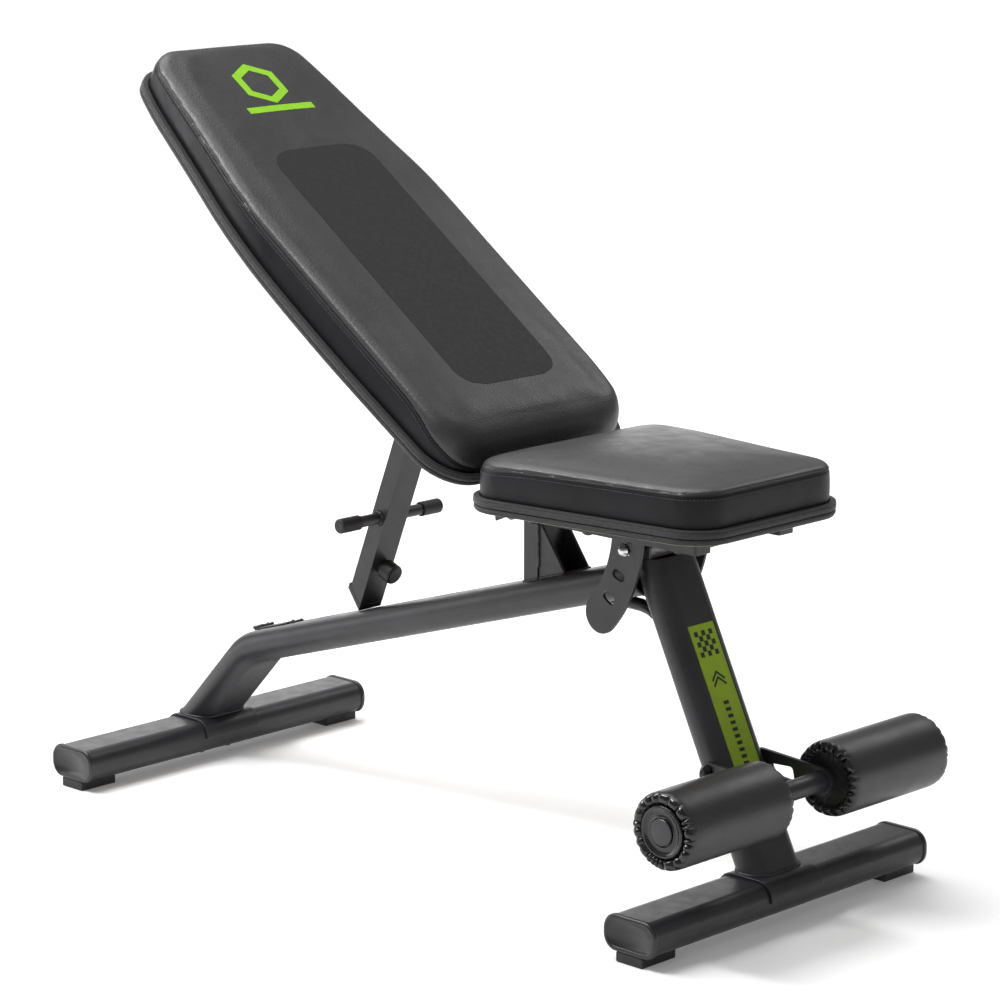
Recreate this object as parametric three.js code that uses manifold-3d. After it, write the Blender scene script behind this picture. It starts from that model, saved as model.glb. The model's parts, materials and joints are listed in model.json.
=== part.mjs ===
// Adjustable decline sit-up bench, in millimetres, +Z up, +X towards the foot rollers.
// The origin is on the floor under the middle of the bench.

import * as THREE from 'three';
import { mergeVertices } from 'three/addons/utils/BufferGeometryUtils.js';
import Module from 'manifold-3d';

const wasm = await Module();
wasm.setup();

// Driving dimensions
const GAP = 0.3;                    // between pieces that touch
const WALL = 2.5;                   // wall of the large tubes

const FOOT = { length: 58, width: 41, height: 12.7, outerEnd: 250 };
const CROSSBAR = { width: 78, height: 42.5, radius: 18, halfLength: 243, bottom: 13 };
const CAP = { grow: 1, depth: 7, bevel: 1.5, spigot: 14 };
const REAR_BAR_X = -521;
const FRONT_BAR_X = 480;
const SADDLE = { thickness: 3, halfLength: 47 };

const SPINE = { width: 86, thickness: 42.5, slope: 0.3038, heightAtOrigin: 297 };
const SPINE_LEG_ANGLE = THREE.MathUtils.degToRad(46.4);
const SPINE_LEG_FOOT_X = -548;      // where the leg's centre line meets the crossbar's mid height
const SPINE_BEND_RADIUS = 75;
const SPINE_BEND_STEPS = 5;
const SPINE_END_X = 340;
const POST = { leanPerHeight: -0.484, xAtReference: 305.1, reference: 409, top: 415 };

const CATCH = { xs: [-285, -209, -135, -60], length: 9, width: 44 };
const STOP_PLATE = { xFrom: -415, xTo: -356, rise: 2.5, width: 34 };

const CENTRE_POST = { xFrom: 95.5, xTo: 119, halfWidth: 25, top: 432.7, wall: 2.5 };
const BRACE = { topZ: 430, footX: 163, halfWidth: 23, plate: 4 };
const YOKE = { halfWidth: 35, plate: 5, tail: [56.5, 420.5], eyeRadius: 10.8, waist: 462 };

const BACK_HINGE = { x: 50, z: 505.6 };
const BACK_ANGLE = THREE.MathUtils.degToRad(35.5);
const SEAT_HINGE = { x: 136, z: 453 };
const AXLE_RADIUS = 6;

const RAIL = { size: 25, wall: 2 };
const BACK_RAIL = { y: 48.8, lowerEnd: 43, upperEnd: -532 };
const BACK_PAD = {
  lowerEnd: 44, upperEnd: -706, halfWidth: 167, taperStart: -424, shoulder: -636, shoulderHalfWidth: 132,
  lowerRadius: 62, upperRadius: 36, boardInset: 6, board: 12.5, boardBottom: 12.8, top: 71,
};

const STRUT = { width: 40, thickness: 25, wall: 2, pivotX: -148, pivotZ: -66, headRoom: 15 };
const STRUT_LEAN = THREE.MathUtils.degToRad(21.75);
const STRUT_FOOT_CLEARANCE = 0.6;
const STRUT_BEVEL_RISE = 16;
const HANDLE = { drop: 163, radius: 7.5, halfLength: 90, gripRadius: 9.7, gripLength: 35 };
const PEG = { drop: 232, radius: 9.5, length: 22, capRadius: 13.3, capLength: 20 };
const CLEVIS = { plate: 5, radius: 15 };

const SEAT = {
  rear: 146, front: 475, rearHalfWidth: 163, frontHalfWidth: 131, rearRadius: 50, frontRadius: 42,
  boardRear: 142, boardInset: 5, bottom: 470.6, board: 12, top: 534, rearChamfer: 26,
};
const SEAT_RAIL = { y: 74.5, rear: 128, front: 430, bottom: 445.3 };
const SEAT_ARC = {
  y: 59.5, plate: 4, inner: 141, outer: 190, holeRadius: 162.5, hole: 6, holeReach: 4,
  firstHole: THREE.MathUtils.degToRad(9.4), step: THREE.MathUtils.degToRad(11.9), endAngle: 0.735,
  endRadius: 24.5,
};
const PIN = { radius: 5, headRadius: 8, reach: 74 };
const CRADLE = { y: 41, plate: 4, rise: 15, xFrom: 284, xTo: 318, base: 3.5 };

const ROLLER = { x: 515.6, z: 163.6, radius: 46.2, inner: 53, outer: 238, recess: 7, bore: 12.9, edge: 7 };
const ROLLER_AXLE = { radius: 12.5, wall: 2, halfLength: 235 };
const HUB = { radius: 31, thickness: 5 };
const ROLLER_BRACKET = {
  y: 46, plate: 5, boltX: 420.6, boltZ: 176.2, heelX: 424, heelZ: 170, heelRadius: 16.5, eyeRadius: 17.5 };

const BRACKET_BOLT = { shank: 4.5, head: 8, dome: 10 };

const GUSSET_ROD = { radius: 8, points: [[214, 345], [251, 344.5], [271, 344], [288, 340], [301, 331], [314, 317], [332, 295], [350, 272]] };

// Finishes
const FRAME_PAINT = { color: 0x3b3b40, roughness: 0.45, metalness: 0.3 };
const BLACK_PLASTIC = { color: 0x26262a, roughness: 0.55, metalness: 0 };
const RUBBER = { color: 0x1a1a1c, roughness: 0.8, metalness: 0 };
const VINYL = { color: 0x2b2b2c, roughness: 0.5, metalness: 0 };
const PLYWOOD = { color: 0xb9a07a, roughness: 0.8, metalness: 0 };
const STEEL = { color: 0xb5b5b8, roughness: 0.25, metalness: 1 };
const BLACK_STEEL = { color: 0x222224, roughness: 0.4, metalness: 0.8 };

// Solids
function toSolid(geometry) {
  const positions = new THREE.BufferGeometry();
  positions.setAttribute('position', geometry.getAttribute('position').clone());
  if (geometry.index) positions.setIndex(geometry.index.clone());
  const merged = mergeVertices(positions, 1e-4);
  return new wasm.Manifold(new wasm.Mesh({
    numProp: 3,
    vertProperties: new Float32Array(merged.getAttribute('position').array),
    triVerts: new Uint32Array(merged.index.array),
  }));
}

function toGeometry(solid) {
  const mesh = solid.getMesh();
  const geometry = new THREE.BufferGeometry();
  geometry.setAttribute('position', new THREE.BufferAttribute(mesh.vertProperties, 3));
  geometry.setIndex(new THREE.BufferAttribute(mesh.triVerts, 1));
  return geometry;
}

const cut = (geometry, ...cutters) => toGeometry(
  cutters.reduce((solid, cutter) => solid.subtract(toSolid(cutter)), toSolid(geometry)));
const join = (geometry, ...others) => toGeometry(
  others.reduce((solid, other) => solid.add(toSolid(other)), toSolid(geometry)));

function box(x, y, z) {
  const [x0, x1] = x;
  const [y0, y1] = y;
  const [z0, z1] = z;
  return new THREE.BoxGeometry(x1 - x0, y1 - y0, z1 - z0)
    .translate((x0 + x1) / 2, (y0 + y1) / 2, (z0 + z1) / 2);
}

function shapeOf(points) {
  return new THREE.Shape(points.map(([a, b]) => new THREE.Vector2(a, b)));
}

// A plate whose outline is drawn in X and Z and whose thickness runs from y0 to y1.
function plateXZ(shape, y0, y1, curveSegments = 8) {
  const geometry = new THREE.ExtrudeGeometry(shape, { depth: y1 - y0, bevelEnabled: false, curveSegments });
  return geometry.rotateX(Math.PI / 2).translate(0, y1, 0);
}

// A slab whose outline is drawn in X and Y and whose thickness runs from z0 to z1.
function slabXY(shape, z0, z1, curveSegments = 6) {
  return new THREE.ExtrudeGeometry(shape, { depth: z1 - z0, bevelEnabled: false, curveSegments })
    .translate(0, 0, z0);
}

// A round bar along Y.
function barY(radius, y0, y1, segments = 20) {
  return new THREE.CylinderGeometry(radius, radius, y1 - y0, segments).translate(0, (y0 + y1) / 2, 0);
}

// A solid of revolution about Y from points of radius and height.
function turned(points, segments = 24) {
  return new THREE.LatheGeometry(points.map(([r, y]) => new THREE.Vector2(r, y)), segments);
}

function roundedRect(width, height, radius) {
  const [w, h] = [width / 2, height / 2];
  const shape = new THREE.Shape();
  shape.moveTo(-w + radius, -h);
  shape.lineTo(w - radius, -h);
  shape.absarc(w - radius, -h + radius, radius, -Math.PI / 2, 0);
  shape.lineTo(w, h - radius);
  shape.absarc(w - radius, h - radius, radius, 0, Math.PI / 2);
  shape.lineTo(-w + radius, h);
  shape.absarc(-w + radius, h - radius, radius, Math.PI / 2, Math.PI);
  shape.lineTo(-w, -h + radius);
  shape.absarc(-w + radius, -h + radius, radius, Math.PI, 1.5 * Math.PI);
  return shape;
}

// The flat-oval section of the large tubes, grown outwards by grow.
function ovalSection(width, thickness, grow = 0) {
  return roundedRect(width + 2 * grow, thickness + 2 * grow, thickness / 2 + grow - 0.5);
}

function tubeSection(outer, inner) {
  outer.holes.push(inner);
  return outer;
}

// An outline with rounded corners: each point is [x, y, corner radius].
function roundedOutline(points) {
  const shape = new THREE.Shape();
  points.forEach(([x, y, radius], i) => {
    const corner = new THREE.Vector2(x, y);
    const last = new THREE.Vector2(...points.at(i - 1).slice(0, 2));
    const next = new THREE.Vector2(...points[(i + 1) % points.length].slice(0, 2));
    const start = corner.clone().add(last.sub(corner).setLength(radius));
    const end = corner.clone().add(next.sub(corner).setLength(radius));
    if (i === 0) shape.moveTo(start.x, start.y);
    else shape.lineTo(start.x, start.y);
    if (radius > 0) shape.quadraticCurveTo(corner.x, corner.y, end.x, end.y);
  });
  shape.closePath();
  return shape;
}

// The outline around two circles, with or without a round hole in each.
function linkOutline(a, b) {
  const along = Math.atan2(b.z - a.z, b.x - a.x);
  const spread = Math.acos((a.radius - b.radius) / Math.hypot(b.x - a.x, b.z - a.z));
  const shape = new THREE.Shape();
  shape.absarc(a.x, a.z, a.radius, along + spread, along - spread + 2 * Math.PI);
  shape.absarc(b.x, b.z, b.radius, along - spread, along + spread);
  shape.closePath();
  return shape;
}

function holeAt(x, z, radius) {
  const hole = new THREE.Path();
  hole.absarc(x, z, radius, 0, 2 * Math.PI);
  return hole;
}

const bench = new THREE.Group();

function place(parent, name, geometry, finish, position = [0, 0, 0]) {
  const mesh = new THREE.Mesh(geometry, new THREE.MeshStandardMaterial(finish));
  mesh.name = name;
  mesh.position.set(...position);
  parent.add(mesh);
}

const SIDES = [['right', -1], ['left', 1]];
const BARS = [['rear', REAR_BAR_X], ['front', FRONT_BAR_X]];

// Base: two crossbars with caps, rubber feet, saddles and saddle bolts
const barMiddle = CROSSBAR.bottom + CROSSBAR.height / 2;
const barTop = CROSSBAR.bottom + CROSSBAR.height;

function crossbarGeometry() {
  const outer = roundedRect(CROSSBAR.width, CROSSBAR.height, CROSSBAR.radius);
  const inner = roundedRect(CROSSBAR.width - 2 * WALL, CROSSBAR.height - 2 * WALL, CROSSBAR.radius - WALL);
  return plateXZ(tubeSection(outer, inner), -CROSSBAR.halfLength, CROSSBAR.halfLength, 4);
}

function capGeometry(side) {
  const slack = WALL + GAP;
  const flange = new THREE.ExtrudeGeometry(
    roundedRect(CROSSBAR.width + 2 * (CAP.grow - CAP.bevel), CROSSBAR.height + 2 * (CAP.grow - CAP.bevel),
      CROSSBAR.radius),
    { depth: CAP.depth - CAP.bevel, bevelThickness: CAP.bevel, bevelSize: CAP.bevel, bevelSegments: 1,
      curveSegments: 4 });
  const trimmed = cut(flange, box([-100, 100], [-100, 100], [-20, 0]));
  const spigot = new THREE.ExtrudeGeometry(
    roundedRect(CROSSBAR.width - 2 * slack, CROSSBAR.height - 2 * slack, CROSSBAR.radius - slack),
    { depth: CAP.spigot + 1, bevelEnabled: false, curveSegments: 3 }).translate(0, 0, -CAP.spigot);
  const half = CROSSBAR.height / 2;
  return cut(join(trimmed, spigot).rotateX(-side * Math.PI / 2),
    box([-100, 100], [-100, 100], [-half - 10, -half]));
}

// The upper half of the crossbar's section, grown by grow, from one side to the other.
function barUpperHalf(grow) {
  const half = CROSSBAR.width / 2 + grow;
  const inner = CROSSBAR.width / 2 - CROSSBAR.radius;
  const radius = CROSSBAR.radius + grow;
  const rise = CROSSBAR.height / 2 - CROSSBAR.radius;
  const points = [[half, 0]];
  for (let i = 0; i <= 5; i++) {
    const angle = (i / 5) * Math.PI / 2;
    points.push([inner + radius * Math.cos(angle), rise + radius * Math.sin(angle)]);
  }
  const mirrored = points.map(([x, z]) => [-x, z]).reverse();
  return [...points, ...mirrored];
}

function saddleGeometry() {
  const outer = barUpperHalf(GAP + SADDLE.thickness);
  const inner = barUpperHalf(GAP).reverse();
  return plateXZ(shapeOf([...outer, ...inner]), -SADDLE.halfLength, SADDLE.halfLength);
}

for (const [end, x] of BARS) {
  place(bench, `${end}_crossbar`, crossbarGeometry(), FRAME_PAINT, [x, 0, barMiddle]);
  place(bench, `${end}_saddle`, saddleGeometry(), FRAME_PAINT, [x, 0, barMiddle]);
  for (const [side, sign] of SIDES) {
    const capY = sign * (CROSSBAR.halfLength + GAP);
    const footY = sign * (FOOT.outerEnd - FOOT.length / 2);
    const foot = box([-FOOT.width / 2, FOOT.width / 2], [-FOOT.length / 2, FOOT.length / 2], [0, FOOT.height]);
    const bolt = new THREE.CylinderGeometry(8.5, 8.5, 5.5, 6).rotateX(Math.PI / 2);
    place(bench, `${end}_cap_${side}`, capGeometry(sign), BLACK_PLASTIC, [x, capY, barMiddle]);
    place(bench, `${end}_foot_${side}`, foot, RUBBER, [x, footY, 0]);
    place(bench, `${end}_saddle_bolt_${side}`, bolt, BLACK_STEEL, [x, sign * 24, CROSSBAR.bottom - 2.75 - GAP]);
  }
}

// Spine: one bent flat-oval tube from the rear saddle to the front post
const saddleTop = barTop + GAP + SADDLE.thickness;
const spineHeight = (x) => SPINE.heightAtOrigin + SPINE.slope * x;
const spineTop = (x) => spineHeight(x) + SPINE.thickness / 2 * Math.hypot(1, SPINE.slope);
const postX = (z) => POST.xAtReference + POST.leanPerHeight * (z - POST.reference);
const postHalfDepth = SPINE.thickness / 2 * Math.hypot(1, POST.leanPerHeight);

// The spine's centre line as stations of x, z and slope angle: a leg, a round bend and a long straight.
function spineStations() {
  const [legAngle, mainAngle] = [SPINE_LEG_ANGLE, Math.atan(SPINE.slope)];
  const legZ = (x) => barMiddle + Math.tan(legAngle) * (x - SPINE_LEG_FOOT_X);
  const bendX = (SPINE.heightAtOrigin - legZ(0)) / (Math.tan(legAngle) - SPINE.slope);
  const bendZ = spineHeight(bendX);
  const tangent = SPINE_BEND_RADIUS * Math.tan((legAngle - mainAngle) / 2);
  const centreX = bendX - tangent * Math.cos(legAngle) + SPINE_BEND_RADIUS * Math.sin(legAngle);
  const centreZ = bendZ - tangent * Math.sin(legAngle) - SPINE_BEND_RADIUS * Math.cos(legAngle);
  const stations = [{ x: SPINE_LEG_FOOT_X, z: barMiddle, angle: legAngle }];
  for (let i = 0; i <= SPINE_BEND_STEPS; i++) {
    const angle = THREE.MathUtils.lerp(legAngle, mainAngle, i / SPINE_BEND_STEPS);
    stations.push({
      x: centreX - SPINE_BEND_RADIUS * Math.sin(angle), z: centreZ + SPINE_BEND_RADIUS * Math.cos(angle), angle });
  }
  stations.push({ x: SPINE_END_X, z: spineHeight(SPINE_END_X), angle: mainAngle });
  return stations;
}

// Sweeps a section through stations in the XZ plane, with the section's width along Y.
function sweep(section, stations, curveSegments = 6) {
  const ring = section.getPoints(curveSegments).slice(0, -1);
  const positions = [];
  for (const { x, z, angle } of stations) {
    for (const { x: across, y: up } of ring) {
      positions.push(x - up * Math.sin(angle), across, z + up * Math.cos(angle));
    }
  }
  const count = ring.length;
  const index = [];
  for (let s = 0; s < stations.length - 1; s++) {
    for (let i = 0; i < count; i++) {
      const [a, b] = [s * count + i, s * count + (i + 1) % count];
      index.push(a, b, a + count, b, b + count, a + count);
    }
  }
  const last = (stations.length - 1) * count;
  for (const [a, b, c] of THREE.ShapeUtils.triangulateShape(ring, [])) {
    index.push(a, c, b, last + a, last + b, last + c);
  }
  const geometry = new THREE.BufferGeometry();
  geometry.setAttribute('position', new THREE.Float32BufferAttribute(positions, 3));
  geometry.setIndex(index);
  return geometry;
}

function spineSolid(grow) {
  return sweep(ovalSection(SPINE.width, SPINE.thickness, grow), spineStations(), 5);
}

// A cutter that takes away everything behind or in front of a line parallel to the front post.
function postSideCutter(offset, depth) {
  const x = (z) => postX(z) + offset;
  return plateXZ(shapeOf([[x(200), 200], [x(200) + depth, 200], [x(520) + depth, 520], [x(520), 520]]), -60, 60);
}

const catchSlots = CATCH.xs.map((x) => box(
  [x - CATCH.length / 2, x + CATCH.length / 2], [-CATCH.width / 2, CATCH.width / 2],
  [spineHeight(x) + 8, spineHeight(x) + 40]));

place(bench, 'main_spine', cut(spineSolid(0), spineSolid(-WALL),
  box([-640, -400], [-60, 60], [0, saddleTop + GAP]),
  postSideCutter(-postHalfDepth - GAP, 90),
  ...catchSlots), FRAME_PAINT);

function stopPlateGeometry() {
  const { xFrom, xTo, rise, width } = STOP_PLATE;
  const outline = [[xTo, spineTop(xTo)], [xTo, spineTop(xTo) + rise], [xFrom, spineTop(xFrom) + rise],
    [xFrom, spineTop(xFrom) - 4]];
  return cut(plateXZ(shapeOf(outline), -width / 2, width / 2), spineSolid(GAP));
}

place(bench, 'catch_stop_plate', stopPlateGeometry(), FRAME_PAINT);

// Front post: the same flat-oval tube, leaning back from the front saddle to the seat
function frontPostGeometry() {
  const section = ovalSection(SPINE.width, SPINE.thickness);
  section.holes.push(ovalSection(SPINE.width, SPINE.thickness, -WALL));
  const path = new THREE.LineCurve3(
    new THREE.Vector3(postX(20), 0, 20), new THREE.Vector3(postX(460), 0, 460));
  const tube = new THREE.ExtrudeGeometry(section, { steps: 1, extrudePath: path, curveSegments: 6 });
  return cut(tube,
    box([300, 640], [-60, 60], [0, saddleTop + GAP]),
    box([200, 400], [-60, 60], [POST.top, 520]),
    barY(BRACKET_BOLT.shank + GAP, -60, 60).translate(ROLLER_BRACKET.boltX, 0, ROLLER_BRACKET.boltZ));
}

place(bench, 'front_post', frontPostGeometry(), FRAME_PAINT);

// Gusset rod: a bent round bar in the corner between the spine and the front post
function gussetRodGeometry() {
  const curve = new THREE.CatmullRomCurve3(GUSSET_ROD.points.map(([x, z]) => new THREE.Vector3(x, 0, z)));
  const round = new THREE.Shape();
  round.absarc(0, 0, GUSSET_ROD.radius, 0, 2 * Math.PI);
  const bar = new THREE.ExtrudeGeometry(round, { steps: 12, extrudePath: curve, curveSegments: 5 });
  return cut(bar, spineSolid(GAP), postSideCutter(-postHalfDepth - GAP, 90));
}

place(bench, 'gusset_rod', gussetRodGeometry(), FRAME_PAINT);

// Centre post with its brace, a channel open to the front, and the hinge yoke on top
function centrePostGeometry() {
  const { xFrom, xTo, halfWidth, top, wall } = CENTRE_POST;
  const outer = box([xFrom, xTo], [-halfWidth, halfWidth], [320, top]);
  const bore = box([xFrom + wall, xTo - wall], [-halfWidth + wall, halfWidth - wall], [300, top + 10]);
  return cut(outer, bore, spineSolid(GAP));
}

function braceGeometry() {
  const { topZ, footX, halfWidth, plate } = BRACE;
  const back = CENTRE_POST.xTo + GAP;
  const outline = shapeOf([
    [back, spineHeight(footX)], [footX, spineHeight(footX)], [footX, spineTop(footX)], [back, topZ]]);
  const outer = plateXZ(outline, -halfWidth, halfWidth);
  const hollow = box([back + plate, footX + 60], [-halfWidth + plate, halfWidth - plate], [200, 500]);
  const behindPost = box([0, back], [-60, 60], [200, 500]);
  return cut(outer, hollow, behindPost, spineSolid(GAP));
}

function yokeGeometry() {
  const { halfWidth, plate } = YOKE;
  const base = CENTRE_POST.top + GAP;
  const ear = () => {
    const shape = new THREE.Shape();
    shape.moveTo(YOKE.tail[0], YOKE.tail[1]);
    shape.lineTo(86, base);
    shape.lineTo(SEAT_HINGE.x + 8, base);
    shape.absarc(SEAT_HINGE.x, SEAT_HINGE.z, YOKE.eyeRadius + 1, -0.6, Math.PI / 2 - 0.1);
    shape.lineTo(BACK_HINGE.x + 22, YOKE.waist);
    shape.lineTo(BACK_HINGE.x + YOKE.eyeRadius, YOKE.waist + 8);
    shape.absarc(BACK_HINGE.x, BACK_HINGE.z, YOKE.eyeRadius, 0, Math.PI);
    shape.closePath();
    shape.holes.push(holeAt(BACK_HINGE.x, BACK_HINGE.z, AXLE_RADIUS + 0.3));
    shape.holes.push(holeAt(SEAT_HINGE.x, SEAT_HINGE.z, AXLE_RADIUS + 0.3));
    return shape;
  };
  return join(
    plateXZ(ear(), halfWidth - plate, halfWidth),
    plateXZ(ear(), -halfWidth, -halfWidth + plate),
    box([88, SEAT_HINGE.x + 6], [-halfWidth + 1, halfWidth - 1], [base, base + plate]));
}

place(bench, 'centre_post', centrePostGeometry(), FRAME_PAINT);
place(bench, 'centre_brace', braceGeometry(), FRAME_PAINT);
place(bench, 'hinge_yoke', yokeGeometry(), FRAME_PAINT);

// A hinge axle with a low head at each end.
function axleGeometry(headStart) {
  const [r, end] = [AXLE_RADIUS, headStart + 6];
  return turned([[0, -end], [r + 2, -end], [r + 4, -end + 3], [r + 4, -headStart], [r, -headStart],
    [r, headStart], [r + 4, headStart], [r + 4, end - 3], [r + 2, end], [0, end]], 14);
}

place(bench, 'backrest_axle', axleGeometry(BACK_RAIL.y + RAIL.size / 2 + GAP), BLACK_STEEL,
  [BACK_HINGE.x, 0, BACK_HINGE.z]);
place(bench, 'seat_axle', axleGeometry(SEAT_RAIL.y + RAIL.size / 2 + GAP), BLACK_STEEL,
  [SEAT_HINGE.x, 0, SEAT_HINGE.z]);

// Seat cradle: two notched ears on the post's end that the seat pin rests in
const pinAngle = -SEAT_ARC.firstHole;
const pinX = SEAT_HINGE.x + SEAT_ARC.holeRadius * Math.cos(pinAngle);
const pinZ = SEAT_HINGE.z + SEAT_ARC.holeRadius * Math.sin(pinAngle);

function cradleGeometry() {
  const { y, plate, rise, xFrom, xTo, base } = CRADLE;
  const bottom = POST.top + GAP;
  const notch = PIN.radius + 0.8;
  const top = bottom + base + rise;
  const ear = shapeOf([[xFrom, bottom], [xTo, bottom], [xTo, top - 6], [xTo - 4, top], [pinX + notch + 3, top],
    [pinX + notch, pinZ], [pinX + notch * 0.7, pinZ - notch * 0.7], [pinX, pinZ - notch],
    [pinX - notch * 0.7, pinZ - notch * 0.7], [pinX - notch, pinZ], [pinX - notch, top], [xFrom, top]]);
  return join(
    plateXZ(ear, y - plate, y),
    plateXZ(ear, -y, -y + plate),
    box([xFrom + 0.5, xTo - 0.5], [-y + 0.5, y - 0.5], [bottom, bottom + base]));
}

place(bench, 'seat_cradle', cradleGeometry(), FRAME_PAINT);

// Roller brackets, their through bolt and the roller axle
function rollerBracketGeometry(sign) {
  const { y, plate, boltX, boltZ, heelX, heelZ, heelRadius, eyeRadius } = ROLLER_BRACKET;
  const shape = linkOutline({ x: heelX, z: heelZ, radius: heelRadius },
    { x: ROLLER.x, z: ROLLER.z, radius: eyeRadius });
  shape.holes.push(holeAt(boltX, boltZ, BRACKET_BOLT.shank + 0.5));
  shape.holes.push(holeAt(ROLLER.x, ROLLER.z, ROLLER_AXLE.radius + 0.5));
  shape.holes.push(roundedOutline([[439, 171, 5], [474, 173, 5], [478, 155, 5], [447, 158, 5]]));
  const middle = sign * y;
  return plateXZ(shape, middle - plate / 2, middle + plate / 2, 6);
}

for (const [side, sign] of SIDES) {
  place(bench, `roller_bracket_${side}`, rollerBracketGeometry(sign), FRAME_PAINT);
}

function bracketBoltGeometry() {
  const { shank, head, dome } = BRACKET_BOLT;
  const outer = ROLLER_BRACKET.y + ROLLER_BRACKET.plate / 2 + GAP;
  return turned([[0, -outer - dome], [head / 2, -outer - dome + 0.5], [head, -outer - 2], [head, -outer],
    [shank, -outer], [shank, outer], [head, outer], [head, outer + 2], [head / 2, outer + dome - 0.5],
    [0, outer + dome]], 16);
}

place(bench, 'roller_bracket_bolt', bracketBoltGeometry(), BLACK_STEEL,
  [ROLLER_BRACKET.boltX, 0, ROLLER_BRACKET.boltZ]);

const axleBore = ROLLER_AXLE.radius - ROLLER_AXLE.wall;
place(bench, 'roller_axle', turned([
  [axleBore, -ROLLER_AXLE.halfLength], [ROLLER_AXLE.radius, -ROLLER_AXLE.halfLength],
  [ROLLER_AXLE.radius, ROLLER_AXLE.halfLength], [axleBore, ROLLER_AXLE.halfLength],
  [axleBore, -ROLLER_AXLE.halfLength]], 24), FRAME_PAINT, [ROLLER.x, 0, ROLLER.z]);

// Foam rollers and their end discs, turning on the axle
for (const [side, sign] of SIDES) {
  const { radius, inner, outer, recess, bore, edge } = ROLLER;
  const [floorIn, floorOut] = [inner + recess, outer - recess];
  const lip = HUB.radius + 2;
  const profile = [[bore, floorIn], [lip, floorIn], [lip + 4, inner], [radius - edge, inner],
    [radius - 2, inner + edge / 2], [radius, inner + edge], [radius, outer - edge],
    [radius - 2, outer - edge / 2], [radius - edge, outer], [lip + 4, outer], [lip, floorOut],
    [bore, floorOut], [bore, floorIn]];
  const face = floorOut + GAP + HUB.thickness;
  const disc = [[bore, floorOut + GAP], [HUB.radius, floorOut + GAP], [HUB.radius, face - 1],
    [HUB.radius - 2, face], [bore, face], [bore, floorOut + GAP]];
  const turn = sign > 0 ? 0 : Math.PI;
  place(bench, `foam_roller_${side}`, turned(profile, 26).rotateX(turn), VINYL, [ROLLER.x, 0, ROLLER.z]);
  place(bench, `roller_disc_${side}`, turned(disc, 22).rotateX(turn), BLACK_PLASTIC, [ROLLER.x, 0, ROLLER.z]);
}

// Backrest: drawn about its hinge, +x towards the seat and z square to the pad
const backrest = new THREE.Group();
backrest.position.set(BACK_HINGE.x, 0, BACK_HINGE.z);
backrest.rotation.y = BACK_ANGLE;
bench.add(backrest);

function backOutline(inset) {
  const { lowerEnd, upperEnd, halfWidth, taperStart, shoulder, shoulderHalfWidth } = BACK_PAD;
  const [w, s] = [halfWidth - inset, shoulderHalfWidth - inset];
  const { lowerRadius, upperRadius } = BACK_PAD;
  return roundedOutline([
    [lowerEnd - inset, -w, lowerRadius], [lowerEnd - inset, w, lowerRadius], [taperStart, w, 40],
    [shoulder, s, 30], [upperEnd + inset, s - 18, upperRadius], [upperEnd + inset, -s + 18, upperRadius],
    [shoulder, -s, 30], [taperStart, -w, 40]]);
}

function hollowRail(x0, x1, holes = []) {
  const { size, wall } = RAIL;
  const outer = box([x0, x1], [-size / 2, size / 2], [-size / 2, size / 2]);
  const inside = size / 2 - wall;
  const bore = box([x0 - 5, x1 + 5], [-inside, inside], [-inside, inside]);
  const cutters = holes.map(([x, z]) => barY(AXLE_RADIUS + 0.4, -30, 30).translate(x, 0, z));
  return cut(outer, bore, ...cutters);
}

const boardTop = BACK_PAD.boardBottom + BACK_PAD.board;
place(backrest, 'backrest_cushion', slabXY(backOutline(0), boardTop + GAP, BACK_PAD.top), VINYL);
place(backrest, 'backrest_board', slabXY(backOutline(BACK_PAD.boardInset), BACK_PAD.boardBottom, boardTop),
  PLYWOOD);
for (const [side, sign] of SIDES) {
  place(backrest, `backrest_rail_${side}`, hollowRail(BACK_RAIL.upperEnd, BACK_RAIL.lowerEnd, [[0, 0]]),
    FRAME_PAINT, [0, sign * BACK_RAIL.y, 0]);
}

const railInner = BACK_RAIL.y - RAIL.size / 2 - GAP;
const clevisInner = STRUT.width / 2 + GAP;
const crossHalf = 25;
place(backrest, 'backrest_crossmember', cut(
  box([-crossHalf, crossHalf], [-railInner, railInner], [-RAIL.size / 2, RAIL.size / 2]),
  box([-crossHalf + 2, crossHalf - 2], [-railInner - 5, railInner + 5], [-RAIL.size / 2 + 2, RAIL.size / 2 - 2])),
  FRAME_PAINT, [STRUT.pivotX, 0, 0]);

function clevisGeometry() {
  const top = -RAIL.size / 2 - GAP;
  const shape = new THREE.Shape();
  shape.moveTo(-crossHalf, top);
  shape.lineTo(-CLEVIS.radius, STRUT.pivotZ);
  shape.absarc(0, STRUT.pivotZ, CLEVIS.radius, Math.PI, 2 * Math.PI);
  shape.lineTo(crossHalf, top);
  shape.closePath();
  shape.holes.push(holeAt(0, STRUT.pivotZ, AXLE_RADIUS + 0.3));
  return plateXZ(shape, 0, CLEVIS.plate);
}

for (const [side, y] of [['right', -clevisInner - CLEVIS.plate], ['left', clevisInner]]) {
  place(backrest, `strut_clevis_${side}`, clevisGeometry(), FRAME_PAINT, [STRUT.pivotX, y, 0]);
}

function strutPinGeometry() {
  const end = clevisInner + CLEVIS.plate + GAP;
  const r = AXLE_RADIUS;
  return turned([[0, -end - 5], [r + 2, -end - 5], [r + 4, -end - 3], [r + 4, -end], [r, -end],
    [r, end], [r + 4, end], [r + 4, end + 3], [r + 2, end + 5], [0, end + 5]], 16);
}

place(backrest, 'strut_pivot_pin', strutPinGeometry(), BLACK_STEEL, [STRUT.pivotX, 0, STRUT.pivotZ]);

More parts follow.
